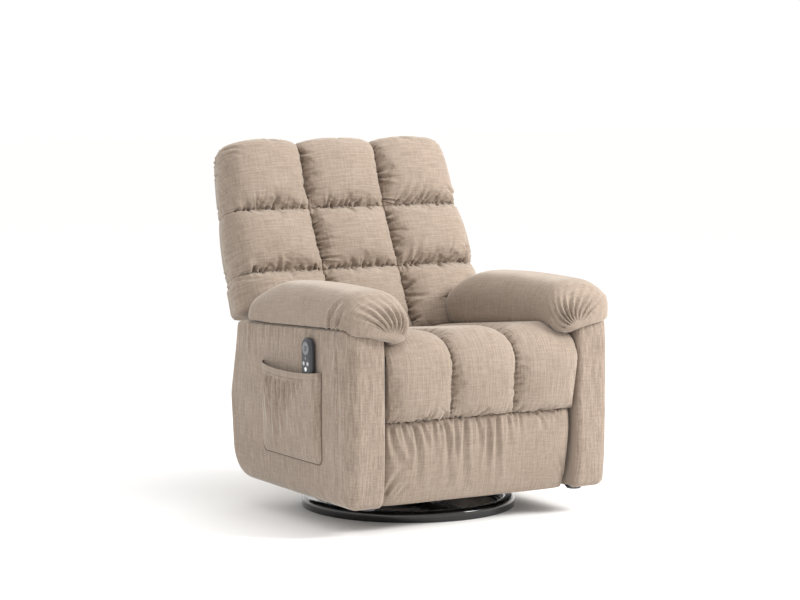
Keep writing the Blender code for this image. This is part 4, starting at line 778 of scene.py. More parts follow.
def corner_pleats(across, along):
    """A few pleats where the cover turns the upper outer corners and the row notches."""
    left = [(-0.362, 0.600, -0.318, 0.585, 0.004, 0.0060, 0.0042),
            (-0.366, 0.585, -0.322, 0.563, 0.005, 0.0055, 0.0036),
            (-0.372, 0.548, -0.330, 0.545, -0.004, 0.0055, 0.0034),
            (-0.392, 0.248, -0.345, 0.262, 0.004, 0.0060, 0.0036),
            (-0.392, 0.212, -0.350, 0.200, -0.003, 0.0060, 0.0032),
            (-0.386, 0.438, -0.350, 0.450, 0.003, 0.0055, 0.0030)]
    right = [(0.350, 0.602, 0.305, 0.580, -0.004, 0.0060, 0.0036),
             (0.372, 0.440, 0.318, 0.478, 0.006, 0.0060, 0.0040),
             (0.380, 0.405, 0.330, 0.385, -0.004, 0.0055, 0.0032),
             (0.392, 0.250, 0.332, 0.292, 0.006, 0.0060, 0.0040)]
    return folded(across, along, left + right)


tuft_height = tuft_gathers(tufts, tuft_map[0], tuft_map[1]) + corner_pleats(tuft_map[0], tuft_map[1])
tufts = raised_by(tufts, tuft_height)
print("gathers up to", round(float(tuft_height.max()) * 1000, 1), "mm high")


# %% Back piece
def straight_map(across, along, out):
    """Cloth map of the back: straight threads over the tufts, carried on round the edges. Steps in
    depth count only in the wrapped lines, so the weave doesn't bend round each pillow."""
    rim = 2 * (WRAP - 1)
    inner = np.zeros(across.shape[1] - 1)
    inner[:rim] = inner[-rim:] = 1
    upper = np.zeros(across.shape[0] - 1)
    upper[-rim:] = 1
    steps = np.hypot(np.diff(across, axis=1), np.diff(out, axis=1) * inner)
    climbs = np.hypot(np.diff(along, axis=0), np.diff(out, axis=0) * upper[:, None])
    u = np.concatenate([np.zeros((across.shape[0], 1)), np.cumsum(steps, axis=1)], axis=1)
    v = np.concatenate([np.zeros((1, across.shape[1])), np.cumsum(climbs, axis=0)], axis=0)
    return u - u[:, u.shape[1] // 2][:, None], v


back_tufting = piece_of("back_tufting", tufts, cover, capped=True, lengths=straight_map(*tuft_map))
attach(back_tufting, "back")
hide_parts("back_cushion")
print(back_tufting.name, len(back_tufting.data.vertices), "vertices")

# %% [markdown]
# ## Rear panel of the back
# Behind the tufts a plain panel closes round the plywood frame and tucks under the seat on an arc
# about the recline hinge, so no gap opens when the chair reclines. It is a shell: an outer sheet and
# an inner one a little inside it, run round as one loop and carried up the back.

# %% Back skin
HINGE = (-0.200, 0.420)
TUCK_RADIUS = 0.095
SKIN_FACE = 0.0303
SKIN_DEEP = 0.0355


def back_skin(width_steps):
    """Grid of loops. Across its width each outer loop is a squared ellipse: the half width times the
    square root of the cosine, the depth times the square root of the sine. The inner loop is the
    same, a wall further in. Low down the loops follow the tuck arc instead of the back's line. The
    depth bulges out by a sine up the back, and the loops shrink to nothing under the top edge."""
    turn = np.radians(np.linspace(232, 192, 16))
    crest = BACK_TALL - 0.114 * np.cos(np.linspace(0.05, 1.5, 34))
    along = np.concatenate([np.linspace(0.098, 0.1235, 6), np.linspace(0.1255, 0.18, 22),
                            np.linspace(0.19, 0.52, 50), crest])
    round_hinge = np.stack([np.cos(turn), np.sin(turn)], 1)
    up_back = np.stack([BACK_FOOT[0] - math.sin(LEAN) * along, BACK_FOOT[1] + math.cos(LEAN) * along], 1)
    spot = np.concatenate([HINGE + TUCK_RADIUS * round_hinge, up_back])
    away = np.concatenate([round_hinge,
                           np.broadcast_to((-math.cos(LEAN), -math.sin(LEAN)), (len(along), 2))])
    flat = np.zeros(len(turn))
    winged = np.concatenate([flat, smooth((along - 0.124) / 0.03)])
    winged_wide = BETWEEN_ARMS + (wing(along) - BETWEEN_ARMS) * 0.78
    wide = np.concatenate([flat + BETWEEN_ARMS, winged_wide])
    end = np.clip((along - 0.50) / (BACK_TALL - 0.50), 0, 1)
    round_top = np.concatenate([flat + 1, (1 - end**2.6) ** 0.5])
    face = np.concatenate([flat, np.full(len(along), -SKIN_FACE)])
    bulge = np.concatenate([flat, 0.011 * np.sin(np.pi * np.clip(along / BACK_TALL, 0, 1))])
    deep = np.concatenate([flat + 0.005, (SKIN_DEEP + 0.018 * winged)[len(turn):]])
    a = np.linspace(0, np.pi, width_steps)
    c, s = np.sign(np.cos(a)) * np.abs(np.cos(a)) ** 0.5, np.sin(a) ** 0.5
    top = np.maximum(round_top, 0.02)[:, None]
    near, far = -face[:, None], (deep + bulge)[:, None]
    outer = near + (np.maximum(far * top, near + 0.001) - near) * s
    hollow = np.concatenate([flat, np.clip((0.585 - along) / 0.012, 0, 1)])
    reach = np.concatenate([flat, np.full(len(along), 0.0306)]) * hollow
    inner = np.maximum(near, np.minimum(reach[:, None], far * top - 0.002)) * np.minimum(1, 4 * s)
    inner = np.maximum(inner, near)
    out = np.concatenate([outer, inner[:, ::-1]], axis=1)
    across = np.concatenate([wide[:, None] * c, wide[:, None] * 0.985 * c[::-1]], axis=1)
    place = spot[:, None] + away[:, None] * out[..., None]
    return world(across, place[..., 0], place[..., 1])


skin = back_skin(90)
back_panel = piece_of("back_rear_panel", skin, cover, wrapped=True, capped=True)
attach(back_panel, "back")
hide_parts("back_cover")
print(back_panel.name, len(back_panel.data.vertices), "vertices")

# %% [markdown]
# ## Seat and footrest top in one cover
# Three channels run forward over the seat, roll over its nose and down to the seam at the front.
# On the real chair, when the footrest rises, that front part swings up with it and the cover
# stretches round the hinge. So it is one piece.

# %% Seat channels
CHANNEL_SEAM = 0.100
SEAT_TOP, SEAT_BACK = (0.325, 0.504), (-0.160, 0.452)
NOSE = 0.073
FRONT_SEAM = (0.376, 0.300)
SEAT_FINE, SEAT_STEPS = 1.6, 38
CHANNEL_PUFF, CHANNEL_SUNK = 0.034, 0.009


def seat_line(fine):
    """The seat's side view as points, their outward normals, and how much of the channels' swell
    each takes: a straight top, a quarter circle over the nose, a quarter ellipse down to the front
    seam, then the hidden way back under the cushion."""
    t = np.arange(round(56 * fine)) / round(56 * fine)
    top = np.stack([SEAT_BACK[0] + (SEAT_TOP[0] - SEAT_BACK[0]) * t,
                    SEAT_BACK[1] + (SEAT_TOP[1] - SEAT_BACK[1]) * t], 1)
    a = np.arange(round(22 * fine)) / round(22 * fine) * np.pi / 2
    nose = np.stack([SEAT_TOP[0] + NOSE * np.sin(a), SEAT_TOP[1] - NOSE + NOSE * np.cos(a)], 1)
    b = spread(round(30 * fine)) * np.pi / 2
    low, proud = SEAT_TOP[1] - NOSE, SEAT_TOP[0] + NOSE - FRONT_SEAM[0]
    face = np.stack([FRONT_SEAM[0] + proud * np.cos(b), low - (low - FRONT_SEAM[1]) * np.sin(b)], 1)
    slope = np.array((SEAT_BACK[1] - SEAT_TOP[1], SEAT_TOP[0] - SEAT_BACK[0]))
    normals = [np.broadcast_to(slope / np.hypot(*slope), top.shape), np.stack([np.sin(a), np.cos(a)], 1)]
    down = np.stack([np.cos(b) * (low - FRONT_SEAM[1]), -np.sin(b) * proud], 1)
    normals.append(down / np.linalg.norm(down, axis=1, keepdims=True))
    share = [smooth(t / 0.05), 1 - 0.3 * np.sin(a), 0.7 * (1 - np.sin(b) ** 10) ** 0.5]
    corners = np.array([FRONT_SEAM, (0.3155, 0.3005), (0.3155, 0.414), (0.292, 0.3975), (-0.140, 0.3975)])
    corners = np.vstack([corners, SEAT_BACK])
    counts = [round(n * fine) for n in (6, 12, 4, 22, 6)]
    hidden = np.concatenate([p + (q - p) * (np.arange(n) / n)[:, None]
                             for p, q, n in zip(corners, corners[1:], counts)])
    line = np.concatenate([top, nose, face, hidden])
    outward = np.concatenate([*normals, np.zeros(hidden.shape)])
    share = np.concatenate([*share, np.zeros(len(hidden))])
    return line, outward, share, len(top) + len(nose) + len(face)


def channel_height(across):
    """Swell of the channels over their seams, less the draw at the seat's two sides."""
    t = np.clip(between(across, (-SEAT_HALF, -CHANNEL_SEAM, CHANNEL_SEAM, SEAT_HALF)), -1, 1)
    outer = (np.abs(across) > CHANNEL_SEAM) & (t * across > 0)
    puff = np.where(outer, 0.30 + 0.70 * (1 - np.abs(t) ** 2.4) ** 0.6, crown(t, 0.40))
    return CHANNEL_PUFF * puff - CHANNEL_SUNK


def seat_channels(fine, across_steps):
    """Grid of side views across the seat. Each point of the side view moves out along its normal by
    the channels' swell there, and the cover grows a little wider where it goes over the nose."""
    line, outward, share, seam = seat_line(fine)
    across = stations((-SEAT_HALF, -CHANNEL_SEAM, CHANNEL_SEAM, SEAT_HALF), across_steps)
    lift = channel_height(across)[:, None] * share
    spot = line + outward * lift[..., None]
    over_hinge = smooth((spot[..., 0] - 0.26) / 0.08) * smooth((spot[..., 1] - 0.34) / 0.10)
    aside = 1 + 0.022 * smooth((np.abs(across) - 0.22) / 0.07)[:, None] * over_hinge
    return world(across[:, None] * aside, spot[..., 0], spot[..., 1]), across, seam


seat_grid, seat_across, seat_seam = seat_channels(SEAT_FINE, SEAT_STEPS)
print("seat:", seat_grid.shape[:2], "points, seam at column", seat_seam)


# %% Sew the seat
seat_sewn = np.zeros(seat_grid.shape[:2], bool)
seat_sewn[[0, SEAT_STEPS, 2 * SEAT_STEPS, -1]] = True
seat_sewn[:, seat_seam:] = True
seat_sewn[:, 0] = True
seat_grid = doubled(swollen(seat_grid, seat_sewn, 0.010, wrapped=True), wrapped=True)
seat_places = np.broadcast_to(seat_across[:, None, None], (*seat_sewn.shape, 1))
seat_places = doubled(seat_places, wrapped=True)[..., 0]
print("seat swollen:", seat_grid.shape[:2], "points")


# %% Gathers of the seat
def seat_gathers(grid, across):
    """Creases that stand up from the front seam, and short ones beside the channel seams near it."""
    run_along, run_across = cloth_lengths(grid, True)
    run_along, run_across = run_along[:, :-1], run_across[:, :-1]
    seam = 2 * seat_seam
    up = run_along[:, seam][:, None] - run_along
    up = np.where(np.arange(grid.shape[1]) < seam, up, -1)
    height = np.zeros(across.shape)
    panels = (((-0.285, -0.108), 0.060, 0.0060), ((-0.092, 0.092), 0.036, 0.0046),
              ((0.108, 0.285), 0.034, 0.0044))
    for n, (span, long, deep) in enumerate(panels):
        inside = (across > span[0] - 0.012) & (across < span[1] + 0.012)
        height += inside * gathered(across, up, gathers(20 + n, [span], 0.0185, long, 0.0052, deep, 0.35))
    seen = (np.arange(grid.shape[1]) < seam) & (np.arange(grid.shape[1]) > 20)
    for n, row in enumerate((2 * SEAT_STEPS, 4 * SEAT_STEPS)):
        off = run_across - run_across[row]
        along = np.broadcast_to(run_along[row], off.shape)
        low = float(run_along[row, 0])
        span = [(low + 0.30, float(run_along[row, seam]) - 0.01)]
        for sign, long, deep in ((1, 0.034, 0.0040), (-1, 0.018, 0.0024)):
            creases = gathers(30 + n + sign, span, 0.019, long, 0.005, deep, 0.4)
            height += seen * gathered(along, sign * off, creases)
    return height


seat_height = seat_gathers(seat_grid, seat_places)
seat_grid = raised_by(seat_grid, seat_height, wrapped=True)
print("seat gathers up to", round(float(seat_height.max()) * 1000, 1), "mm high")


# %% Seat piece
def threads(line, across, columns):
    """Cloth map of a piece drawn as one side view carried across: its running length round the side
    view, the same in every row, and its place across."""
    line = np.concatenate([line, line[:1]])
    run = np.concatenate([[0], np.cumsum(np.linalg.norm(np.diff(line, axis=0), axis=1))])
    run = np.interp(np.linspace(0, 1, columns + 1), np.linspace(0, 1, len(run)), run)
    across = np.concatenate([across, across[:, :1]], axis=1)
    return np.broadcast_to(run, across.shape), across


seat_threads = threads(seat_line(SEAT_FINE)[0], seat_places, seat_grid.shape[1])
seat_cover = piece_of("seat_channels", seat_grid, cover, wrapped=True, capped=True, lengths=seat_threads)
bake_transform(seat_cover)
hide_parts("seat_cushion", "footrest_upper_pad")
print(seat_cover.name, len(seat_cover.data.vertices), "vertices")

# %% [markdown]
# ## Footrest panel
# Below the gathered seam one plain panel hangs in front of the footrest board. It is fullest in its
# upper half and rolls under at its lower edge, with a few long soft folds that fall from the seam.

# %% Footrest panel
PANEL_LOW, PANEL_BACK = 0.072, 0.3138
PANEL_SEAM = (FRONT_SEAM[0] - 0.005, FRONT_SEAM[1] - 0.0005)
PANEL_FULL, PANEL_FALL = 0.023, 0.026


def panel_line():
    """Side view of the panel: out from the seam in a full curve, down, and rolled under. The curve
    is a root of a sine, fullest in the upper half, less an even fall towards the lower edge."""
    t = spread(60)
    forward = PANEL_SEAM[0] + PANEL_FULL * (np.sin(np.pi * np.clip(t, 0, 1) ** 0.72)) ** 0.55
    forward = forward - PANEL_FALL * t
    up = FRONT_SEAM[1] - 0.0005 - (FRONT_SEAM[1] - PANEL_LOW - 0.0005) * t
    hidden = np.array([(FRONT_SEAM[0] - 0.031, PANEL_LOW), (PANEL_BACK, PANEL_LOW),
                       (PANEL_BACK, PANEL_SEAM[1]), PANEL_SEAM])
    way = np.concatenate([p + (q - p) * (np.arange(n) / n)[:, None]
                          for p, q, n in zip(hidden, hidden[1:], (6, 20, 8))])
    return np.concatenate([np.stack([forward, up], 1), way]), len(t)


def footrest_panel(across_steps):
    """Grid of side views across the panel, drawn back towards its two sides by a squared curve."""
    line, seen = panel_line()
    across = SEAT_HALF * (2 * spread(across_steps + 1) * (across_steps + 1) / across_steps - 1)
    across = np.clip(across, -SEAT_HALF, SEAT_HALF)
    side = 1 - (1 - (np.abs(across) / SEAT_HALF) ** 12) ** 0.5
    forward = np.maximum(line[:, 0] - 0.020 * side[:, None], PANEL_BACK)
    return world(across[:, None], forward, line[:, 1]), across, seen


panel_grid, panel_across, panel_seen = footrest_panel(120)
panel_sewn = np.zeros(panel_grid.shape[:2], bool)
panel_sewn[[0, -1]] = True
panel_sewn[:, panel_seen:] = panel_sewn[:, 0] = True
panel_grid = doubled(swollen(panel_grid, panel_sewn, 0.004, wrapped=True), wrapped=True)
panel_places = np.broadcast_to(panel_across[:, None, None], (*panel_sewn.shape, 1))
panel_places = doubled(panel_places, wrapped=True)[..., 0]
print("panel:", panel_grid.shape[:2], "points")


# %% Folds of the footrest panel
def panel_folds(grid, across):
    """Long folds that fall from the seam, gathers on it, and a few creases at the lower corners."""
    down = cloth_lengths(grid, True)[0][:, :-1]
    down = down - down[:, :1]
    down = np.where(np.arange(grid.shape[1]) < 2 * panel_seen, down, -1)
    seam = 0.004
    long = [(-0.278, 0.012, -0.240, 0.130, 0.012, 0.0095, 0.0085),
            (-0.246, seam, -0.212, 0.110, 0.008, 0.0080, 0.0070),
            (-0.216, seam, -0.196, 0.190, -0.008, 0.0105, 0.0095),
            (-0.186, seam, -0.158, 0.090, 0.006, 0.0070, 0.0060),
            (-0.150, seam, -0.142, 0.120, 0.004, 0.0080, 0.0060),
            (-0.118, seam, -0.100, 0.205, -0.006, 0.0105, 0.0085),
            (-0.082, seam, -0.074, 0.150, 0.004, 0.0080, 0.0070),
            (-0.050, seam, -0.040, 0.215, 0.008, 0.0110, 0.0095),
            (-0.016, seam, -0.004, 0.120, -0.003, 0.0080, 0.0060),
            (0.022, seam, 0.028, 0.190, 0.005, 0.0095, 0.0080),
            (0.052, seam, 0.060, 0.205, 0.005, 0.0100, 0.0085),
            (0.088, seam, 0.092, 0.110, 0.003, 0.0075, 0.0055),
            (0.124, seam, 0.128, 0.080, 0.002, 0.0070, 0.0045),
            (0.176, seam, 0.200, 0.070, -0.006, 0.0075, 0.0060),
            (0.225, seam, 0.246, 0.050, -0.004, 0.0070, 0.0040),
            (-0.286, 0.210, -0.230, 0.120, -0.008, 0.0095, 0.0070),
            (-0.255, 0.214, -0.205, 0.150, 0.004, 0.0080, 0.0050),
            (0.284, 0.205, 0.245, 0.130, 0.006, 0.0080, 0.0040)]
    short = gathers(12, [(-0.285, 0.285)], 0.0165, 0.030, 0.0052, 0.0040, 0.3)
    return folded(across, down, long) + gathered(across, down, short)


panel_height = panel_folds(panel_grid, panel_places)
panel_grid = raised_by(panel_grid, panel_height, wrapped=True)
print("panel folds up to", round(float(panel_height.max()) * 1000, 1), "mm high")


# %% Panel piece
panel_threads = threads(panel_line()[0], panel_places, panel_grid.shape[1])
foot_panel = piece_of("footrest_panel", panel_grid, cover, wrapped=True, capped=True,
                      lengths=panel_threads)
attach(foot_panel, "footrest")
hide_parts("footrest_lower_pad")
print(foot_panel.name, len(foot_panel.data.vertices), "vertices")

# %% [markdown]
# ## Arm pads
# Each arm carries a pillow that is stuffed hard, hangs over towards the seat, and ends in a round
# nose that drops over the front of the arm. It is a sleeve of soft loops, like a bolster whose
# bottom is pressed flat by the arm.

# %% Arm pads
PAD_ROWS, PAD_COLUMNS = 110, 120
PAD_REAR_END, PAD_FRONT_END = -0.200, 0.416
PAD_INNER = ARM_IN - 0.078
PAD_ARCH, PAD_ARCH_FALL = 0.113, 0.020
PAD_WEDGE, PAD_BLUNT, PAD_NOSE_HIGH, PAD_NOSE_WIDE = 0.180, 0.060, 0.095, 0.058
PAD_HANGS = 0.056
PAD_PROUD = {1: 0.0075, -1: -0.0022}
ARM_FRONT, ARM_CORNER = 0.385, 0.030
ARM_SEAM_REAR, ARM_SEAM_CLIMB = (-0.262, 0.524), (0.647, 0.031)


def arm_seam_height(forward):
    """Height of the seam between the arm and its pad, which climbs towards the front."""
    share = np.clip((forward - ARM_SEAM_REAR[0]) / ARM_SEAM_CLIMB[0], 0, 1)
    return ARM_SEAM_REAR[1] + ARM_SEAM_CLIMB[1] * share


def seat_height_at(across, forward):
    """Top of the seat at rest, where the pad's inner side comes down to it."""
    rise, run = SEAT_TOP[1] - SEAT_BACK[1], SEAT_TOP[0] - SEAT_BACK[0]
    slope = SEAT_BACK[1] + rise * (forward - SEAT_BACK[0]) / run
    over = np.clip((forward - SEAT_TOP[0]) / NOSE, 0, 0.98)
    nose = SEAT_TOP[1] - NOSE * (1 - np.sqrt(1 - over**2))
    return np.where(over > 0, nose, slope) + channel_height(across)


def arm_pad(side, along_steps, round_steps):
    """Grid of loops along the arm. The top of a full loop is a squared ellipse, highest over the
    middle of the arm. Its bottom is flat on the arm, comes down to the seat where the pad stands
    over it, follows the quarter circle of the arm's front corner, and drops in front of the arm.
    Towards the rear the loops sink in a long wedge. At the front they keep their full width to near
    the end and then close in a blunt round nose."""
    t = np.linspace(0, 1, along_steps)
    share = 0.25 * t + 0.75 * (1 - np.cos(np.pi * t)) / 2
    forward = PAD_REAR_END + (PAD_FRONT_END - PAD_REAR_END) * share
    rear, front = forward - PAD_REAR_END, PAD_FRONT_END - forward
    sink, blunt = eased(rear / PAD_WEDGE, 1.9, 1.7), eased(rear / PAD_BLUNT, 2.2, 2.2)
    high, wide = eased(front / PAD_NOSE_HIGH, 2.2, 2.2), eased(front / PAD_NOSE_WIDE, 2.3, 2.3)
    a = np.linspace(0, 2 * np.pi, round_steps, endpoint=False) + np.pi / 2
    c, s = np.cos(a), np.sin(a)
    inner = PAD_INNER - 0.006 * smooth((0.1 - forward) / 0.25)
    middle, half = ((inner + ARM_OUT) / 2)[:, None], ((ARM_OUT - inner) / 2)[:, None]
    across = middle + half * np.sign(c) * np.abs(c) ** 0.72
    floor = (arm_seam_height(forward) + 0.0015)[:, None]
    inward = np.clip((ARM_IN - 0.004 - across) / 0.022, 0, 1) ** 0.5
    hang = inward * np.clip(floor - seat_height_at(across, forward[:, None]) + 0.008, 0, PAD_HANGS)
    corner_run = np.clip(forward - (ARM_FRONT - ARM_CORNER), 0, 0.029)[:, None]
    corner = ARM_CORNER - np.sqrt(ARM_CORNER**2 - corner_run**2)
    hang = np.maximum(hang, corner)
    over_front = smooth((forward - 0.384) / 0.010)[:, None]
    drop = 0.010 + 0.046 * np.clip((ARM_OUT - across) / 0.150, 0, 1) ** 1.2
    hang = hang * (1 - over_front) + over_front * np.maximum(drop, hang)
    arch = PAD_ARCH - PAD_ARCH_FALL * np.clip((forward - 0.04) / 0.34, 0, 1) ** 1.7
    up = floor + np.where(s > 0, arch[:, None] * np.abs(s) ** 0.8, -hang * np.abs(s) ** 0.6)
    sink, high = np.maximum(sink, 0.02)[:, None], np.maximum(high, 0.02)[:, None]
    shut = (np.minimum(blunt, wide) * 0.97 + 0.03)[:, None]
    tip = smooth((forward - 0.28) / 0.12)[:, None]
    pivot = middle - 0.016 - 0.014 * tip
    across = pivot + (across - pivot) * shut
    low_middle = floor + 0.016 - 0.044 * tip
    close = sink + (blunt[:, None] - sink) * np.clip(-2 * s, 0, 1)
    up = low_middle + (up - low_middle) * close * high
    on_arm = (across > ARM_IN - 0.006) & (over_front < 0.9)
    up = np.maximum(up, np.where(on_arm, floor - corner, -1))
    proud = PAD_PROUD[side] * np.exp(-(((up - floor - 0.045) / 0.035) ** 2))
    lobe = proud * smooth((across - 0.385) / 0.03) * sink * high
    skew = 0.026 * smooth((across - 0.33) / 0.07) * (1 - np.clip(rear / 0.13, 0, 1)[:, None]) ** 1.5
    return world(side * (across + lobe), forward[:, None] - skew, up)[:, ::side]


def pad_threads(grid):
    """Cloth map of a pad: round it by the lengths of its fullest loop, along it by the mean length,
    counted from the top line. Threads run together into both noses, where the cloth is gathered."""
    around, along = cloth_lengths(grid, True)
    fullest = int(np.argmax(around[:, -1] - around[:, 0]))
    around = around[fullest] - around[fullest, 0]
    along_mean = along.mean(axis=1)[:, None]
    return np.broadcast_to(around, along.shape), np.broadcast_to(along_mean, along.shape)


# %% Pleats of the arm pads
PAD_OUTER_EDGE, PAD_INNER_EDGE = -0.195, 0.235


def pad_creases(grid, side):
    """Pleats of one pad on its cloth map, with the outer side at negative places round it. Two
    strong folds curve up the outer side near the front and lie down before its sewn edge, pleats
    gather into the nose's lower edge, and small gathers stand along the lower edges."""
    around, along = pad_threads(grid)
    girth = float(around[0, -1])
    around, along = around[:, :-1], along[:, :-1] - along[0, 0]
    around = ((around + girth / 2) % girth - girth / 2) * side
    long = float(along[-1, 0])
    outer = [(-0.205, long - 0.165, -0.075, long - 0.150, -0.028, 0.0080, 0.0150),
             (-0.205, long - 0.112, -0.085, long - 0.118, -0.024, 0.0080, 0.0160),
             (-0.190, long - 0.190, -0.110, long - 0.178, -0.008, 0.0075, 0.0070),
             (-0.185, long - 0.138, -0.130, long - 0.130, -0.006, 0.0070, 0.0060)]
    nose = [(0.190, long - 0.030, 0.090, long - 0.115, 0.012, 0.0085, 0.0090),
            (0.165, long - 0.026, 0.062, long - 0.110, 0.010, 0.0085, 0.0090),
            (0.135, long - 0.024, 0.034, long - 0.108, 0.008, 0.0085, 0.0090),
            (0.100, long - 0.022, 0.006, long - 0.112, 0.006, 0.0085, 0.0090),
            (0.065, long - 0.022, -0.020, long - 0.110, 0.004, 0.0080, 0.0085),
            (0.030, long - 0.022, -0.044, long - 0.104, 0.003, 0.0080, 0.0080),
            (-0.010, long - 0.022, -0.070, long - 0.096, 0.003, 0.0075, 0.0075),
            (-0.050, long - 0.022, -0.098, long - 0.086, 0.003, 0.0070, 0.0065),
            (0.215, long - 0.050, 0.130, long - 0.125, 0.008, 0.0075, 0.0060)]
    rear = [(-0.150, 0.030, -0.070, 0.060, 0.006, 0.0080, 0.0045),
            (0.150, 0.020, 0.060, 0.060, -0.006, 0.0080, 0.0045)]
    hem = gathers(160 + side, [(0.05, long - 0.12)], 0.022, 0.032, 0.0060, 0.0026, 0.3)
    near_edge = 0.16 + 0.84 * smooth((around + 0.186) / 0.040)
    height = folded(around, along, outer + nose + rear) * near_edge
    for edge in (PAD_OUTER_EDGE, PAD_INNER_EDGE):
        off = np.where(around * edge > 0, abs(edge) - np.abs(around), -1)
        height = height + gathered(along, off, hem)
    return height


pads = {}
for word, side in (("left", 1), ("right", -1)):
    grid = doubled(arm_pad(side, PAD_ROWS, PAD_COLUMNS), wrapped=True)
    creased = raised_by(grid, pad_creases(grid, side), wrapped=True)
    pads[word] = piece_of("arm_pillow_" + word, creased, cover, wrapped=True, capped=True,
                          lengths=pad_threads(grid))
    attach(pads[word], "chassis")
    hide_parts("arm_pad_" + word)
print("pads:", len(pads["left"].data.vertices), "vertices each")

# %% [markdown]
# ## Arm sides
# The sides are foam over a flat panel: flat inside, and outside a broad face that rounds softly into
# the front and the curved rear corner. The outline is a polygon with rounded corners; it is stacked
# across the arm, drawn in over the soft edge, and then drawn in to the middle of the face.


# %% Arm outline
ARM_CORNERS = np.array([(ARM_FRONT, 0.073), (ARM_FRONT, 0.555), ARM_SEAM_REAR, (-0.312, 0.3145),
                        (-0.288, 0.078)])
ARM_RADII = np.array((0.020, ARM_CORNER, 0.034, 0.115, 0.100))
ARC_POINTS, RUN_POINTS = 22, (80, 108, 34, 20, 90)


def rounded_loop(polygon, rounds, inset, run_points, least=0.006):
    """A polygon with rounded corners, drawn in by an inset. Its edges move in and meet at new
    corners, and each corner's radius shrinks by the inset, down to the least one. Every loop has
    the same number of points on each arc and each straight run."""
    before, after = np.roll(polygon, 1, 0), np.roll(polygon, -1, 0)
    u = (before - polygon) / np.linalg.norm(before - polygon, axis=1)[:, None]
    v = (after - polygon) / np.linalg.norm(after - polygon, axis=1)[:, None]
    half = np.arccos(np.clip((u * v).sum(1), -1, 1)) / 2
    split = (u + v) / np.linalg.norm(u + v, axis=1)[:, None]
    corners = polygon + split * (inset / np.sin(half))[:, None]
    radii = np.maximum(rounds - inset, least)
    centre = corners + split * (radii / np.sin(half))[:, None]
    reach = (radii / np.tan(half))[:, None]
    start, end = u * reach + corners, v * reach + corners
    first = np.arctan2(*(start - centre).T[::-1])
    swing = (np.arctan2(*(end - centre).T[::-1]) - first + np.pi) % (2 * np.pi) - np.pi
    turn = first[:, None] + swing[:, None] * np.linspace(0, 1, ARC_POINTS)
    arcs = centre[:, None] + radii[:, None, None] * np.stack([np.cos(turn), np.sin(turn)], -1)
    runs = [end[k] + (start[(k + 1) % len(polygon)] - end[k]) * (np.arange(1, n) / n)[:, None]
            for k, n in enumerate(run_points)]
    return np.concatenate([part for pair in zip(arcs, runs) for part in pair])


def arm_loop(inset):
    """The arm's outline drawn in by an inset."""
    return rounded_loop(ARM_CORNERS, ARM_RADII, inset, RUN_POINTS)


def outward_of(outline):
    """Outward unit normals of a closed outline."""
    along = np.roll(outline, -1, 0) - np.roll(outline, 1, 0)
    normal = np.stack([along[:, 1], -along[:, 0]], 1) / np.linalg.norm(along, axis=1)[:, None]
    after = np.roll(outline, -1, 0)
    return normal * np.sign(np.sum(outline[:, 0] * after[:, 1] - after[:, 0] * outline[:, 1]))


print("arm outline:", len(arm_loop(0.0)), "points")


# %% Arm sides
ARM_SOFT = 0.034
ARM_FACE = ARM_OUT - 0.006
FACE_SWELL = {1: 0.0110, -1: 0.0055}
FRONT_SWELL = 0.0150


def arm_bow(forward, up):
    """Share of the swell in the middle of the arm's face: a parabola along times one up."""
    along, over = ((forward - 0.06) / 0.30) ** 2, ((up - 0.33) / 0.22) ** 2
    return np.clip(1 - along, 0, 1) * np.clip(1 - over, 0, 1)


def arm_side(side):
    """Grid of closed loops from the inner face out, and the cloth map that goes with it. The loops
    run straight across the arm, then over the soft edge on a quarter circle, then shrink towards
    the face's middle. The map is the face seen from the side, with the edge unfolded outwards."""
    flat = np.array([ARM_IN, ARM_IN + 0.008, *np.linspace(ARM_IN + 0.018, ARM_FACE - ARM_SOFT, 16)])
    bend = np.linspace(0, np.pi / 2, 16)[1:]
    across = np.concatenate([flat, ARM_FACE - ARM_SOFT + ARM_SOFT * np.sin(bend)])
    inset = np.concatenate([[0.008], np.zeros(len(flat) - 1), ARM_SOFT * (1 - np.cos(bend))])
    loops = np.stack([arm_loop(by) for by in inset])
    under_pad = smooth((loops[..., 1] - arm_seam_height(loops[..., 0]) + 0.09) / 0.06)
    outer_edge = (inset[:, None] > 0) * (across[:, None] > ARM_IN + 0.02)
    loops[..., 1] += 0.75 * inset[:, None] * under_pad * outer_edge
    run = np.append(np.cumsum(np.hypot(np.diff(across), np.diff(inset))[::-1])[::-1], 0)
    maps = loops[-1] + outward_of(loops[-1]) * run[:, None, None]
    middle = loops[-1].mean(axis=0)
    shrink = np.linspace(1, 0.01, 84)[1:, None, None]
    face = middle + (loops[-1] - middle) * shrink
    loops, maps = np.concatenate([loops, face]), np.concatenate([maps, face])
    across = np.append(across, np.full(len(face), ARM_FACE))[:, None]
    forward, up = loops[..., 0], loops[..., 1]
    bow = arm_bow(forward, up)
    outer = smooth((across - ARM_FACE + 0.02) / 0.014)
    height = arm_folds(forward, up, side)
    across = across + (FACE_SWELL[side] * bow**0.7 + height * (1 - bow)) * outer
    front = smooth((forward - 0.366) / 0.014)
    forward = forward + FRONT_SWELL * front * np.clip(1 - ((up - 0.32) / 0.25) ** 4, 0, 1)
    grid = world(side * across, forward, up)
    maps = np.concatenate([maps, maps[:, :1]], axis=1)
    return grid[:, ::-side], (maps[:, ::-side, 0], maps[:, ::-side, 1])


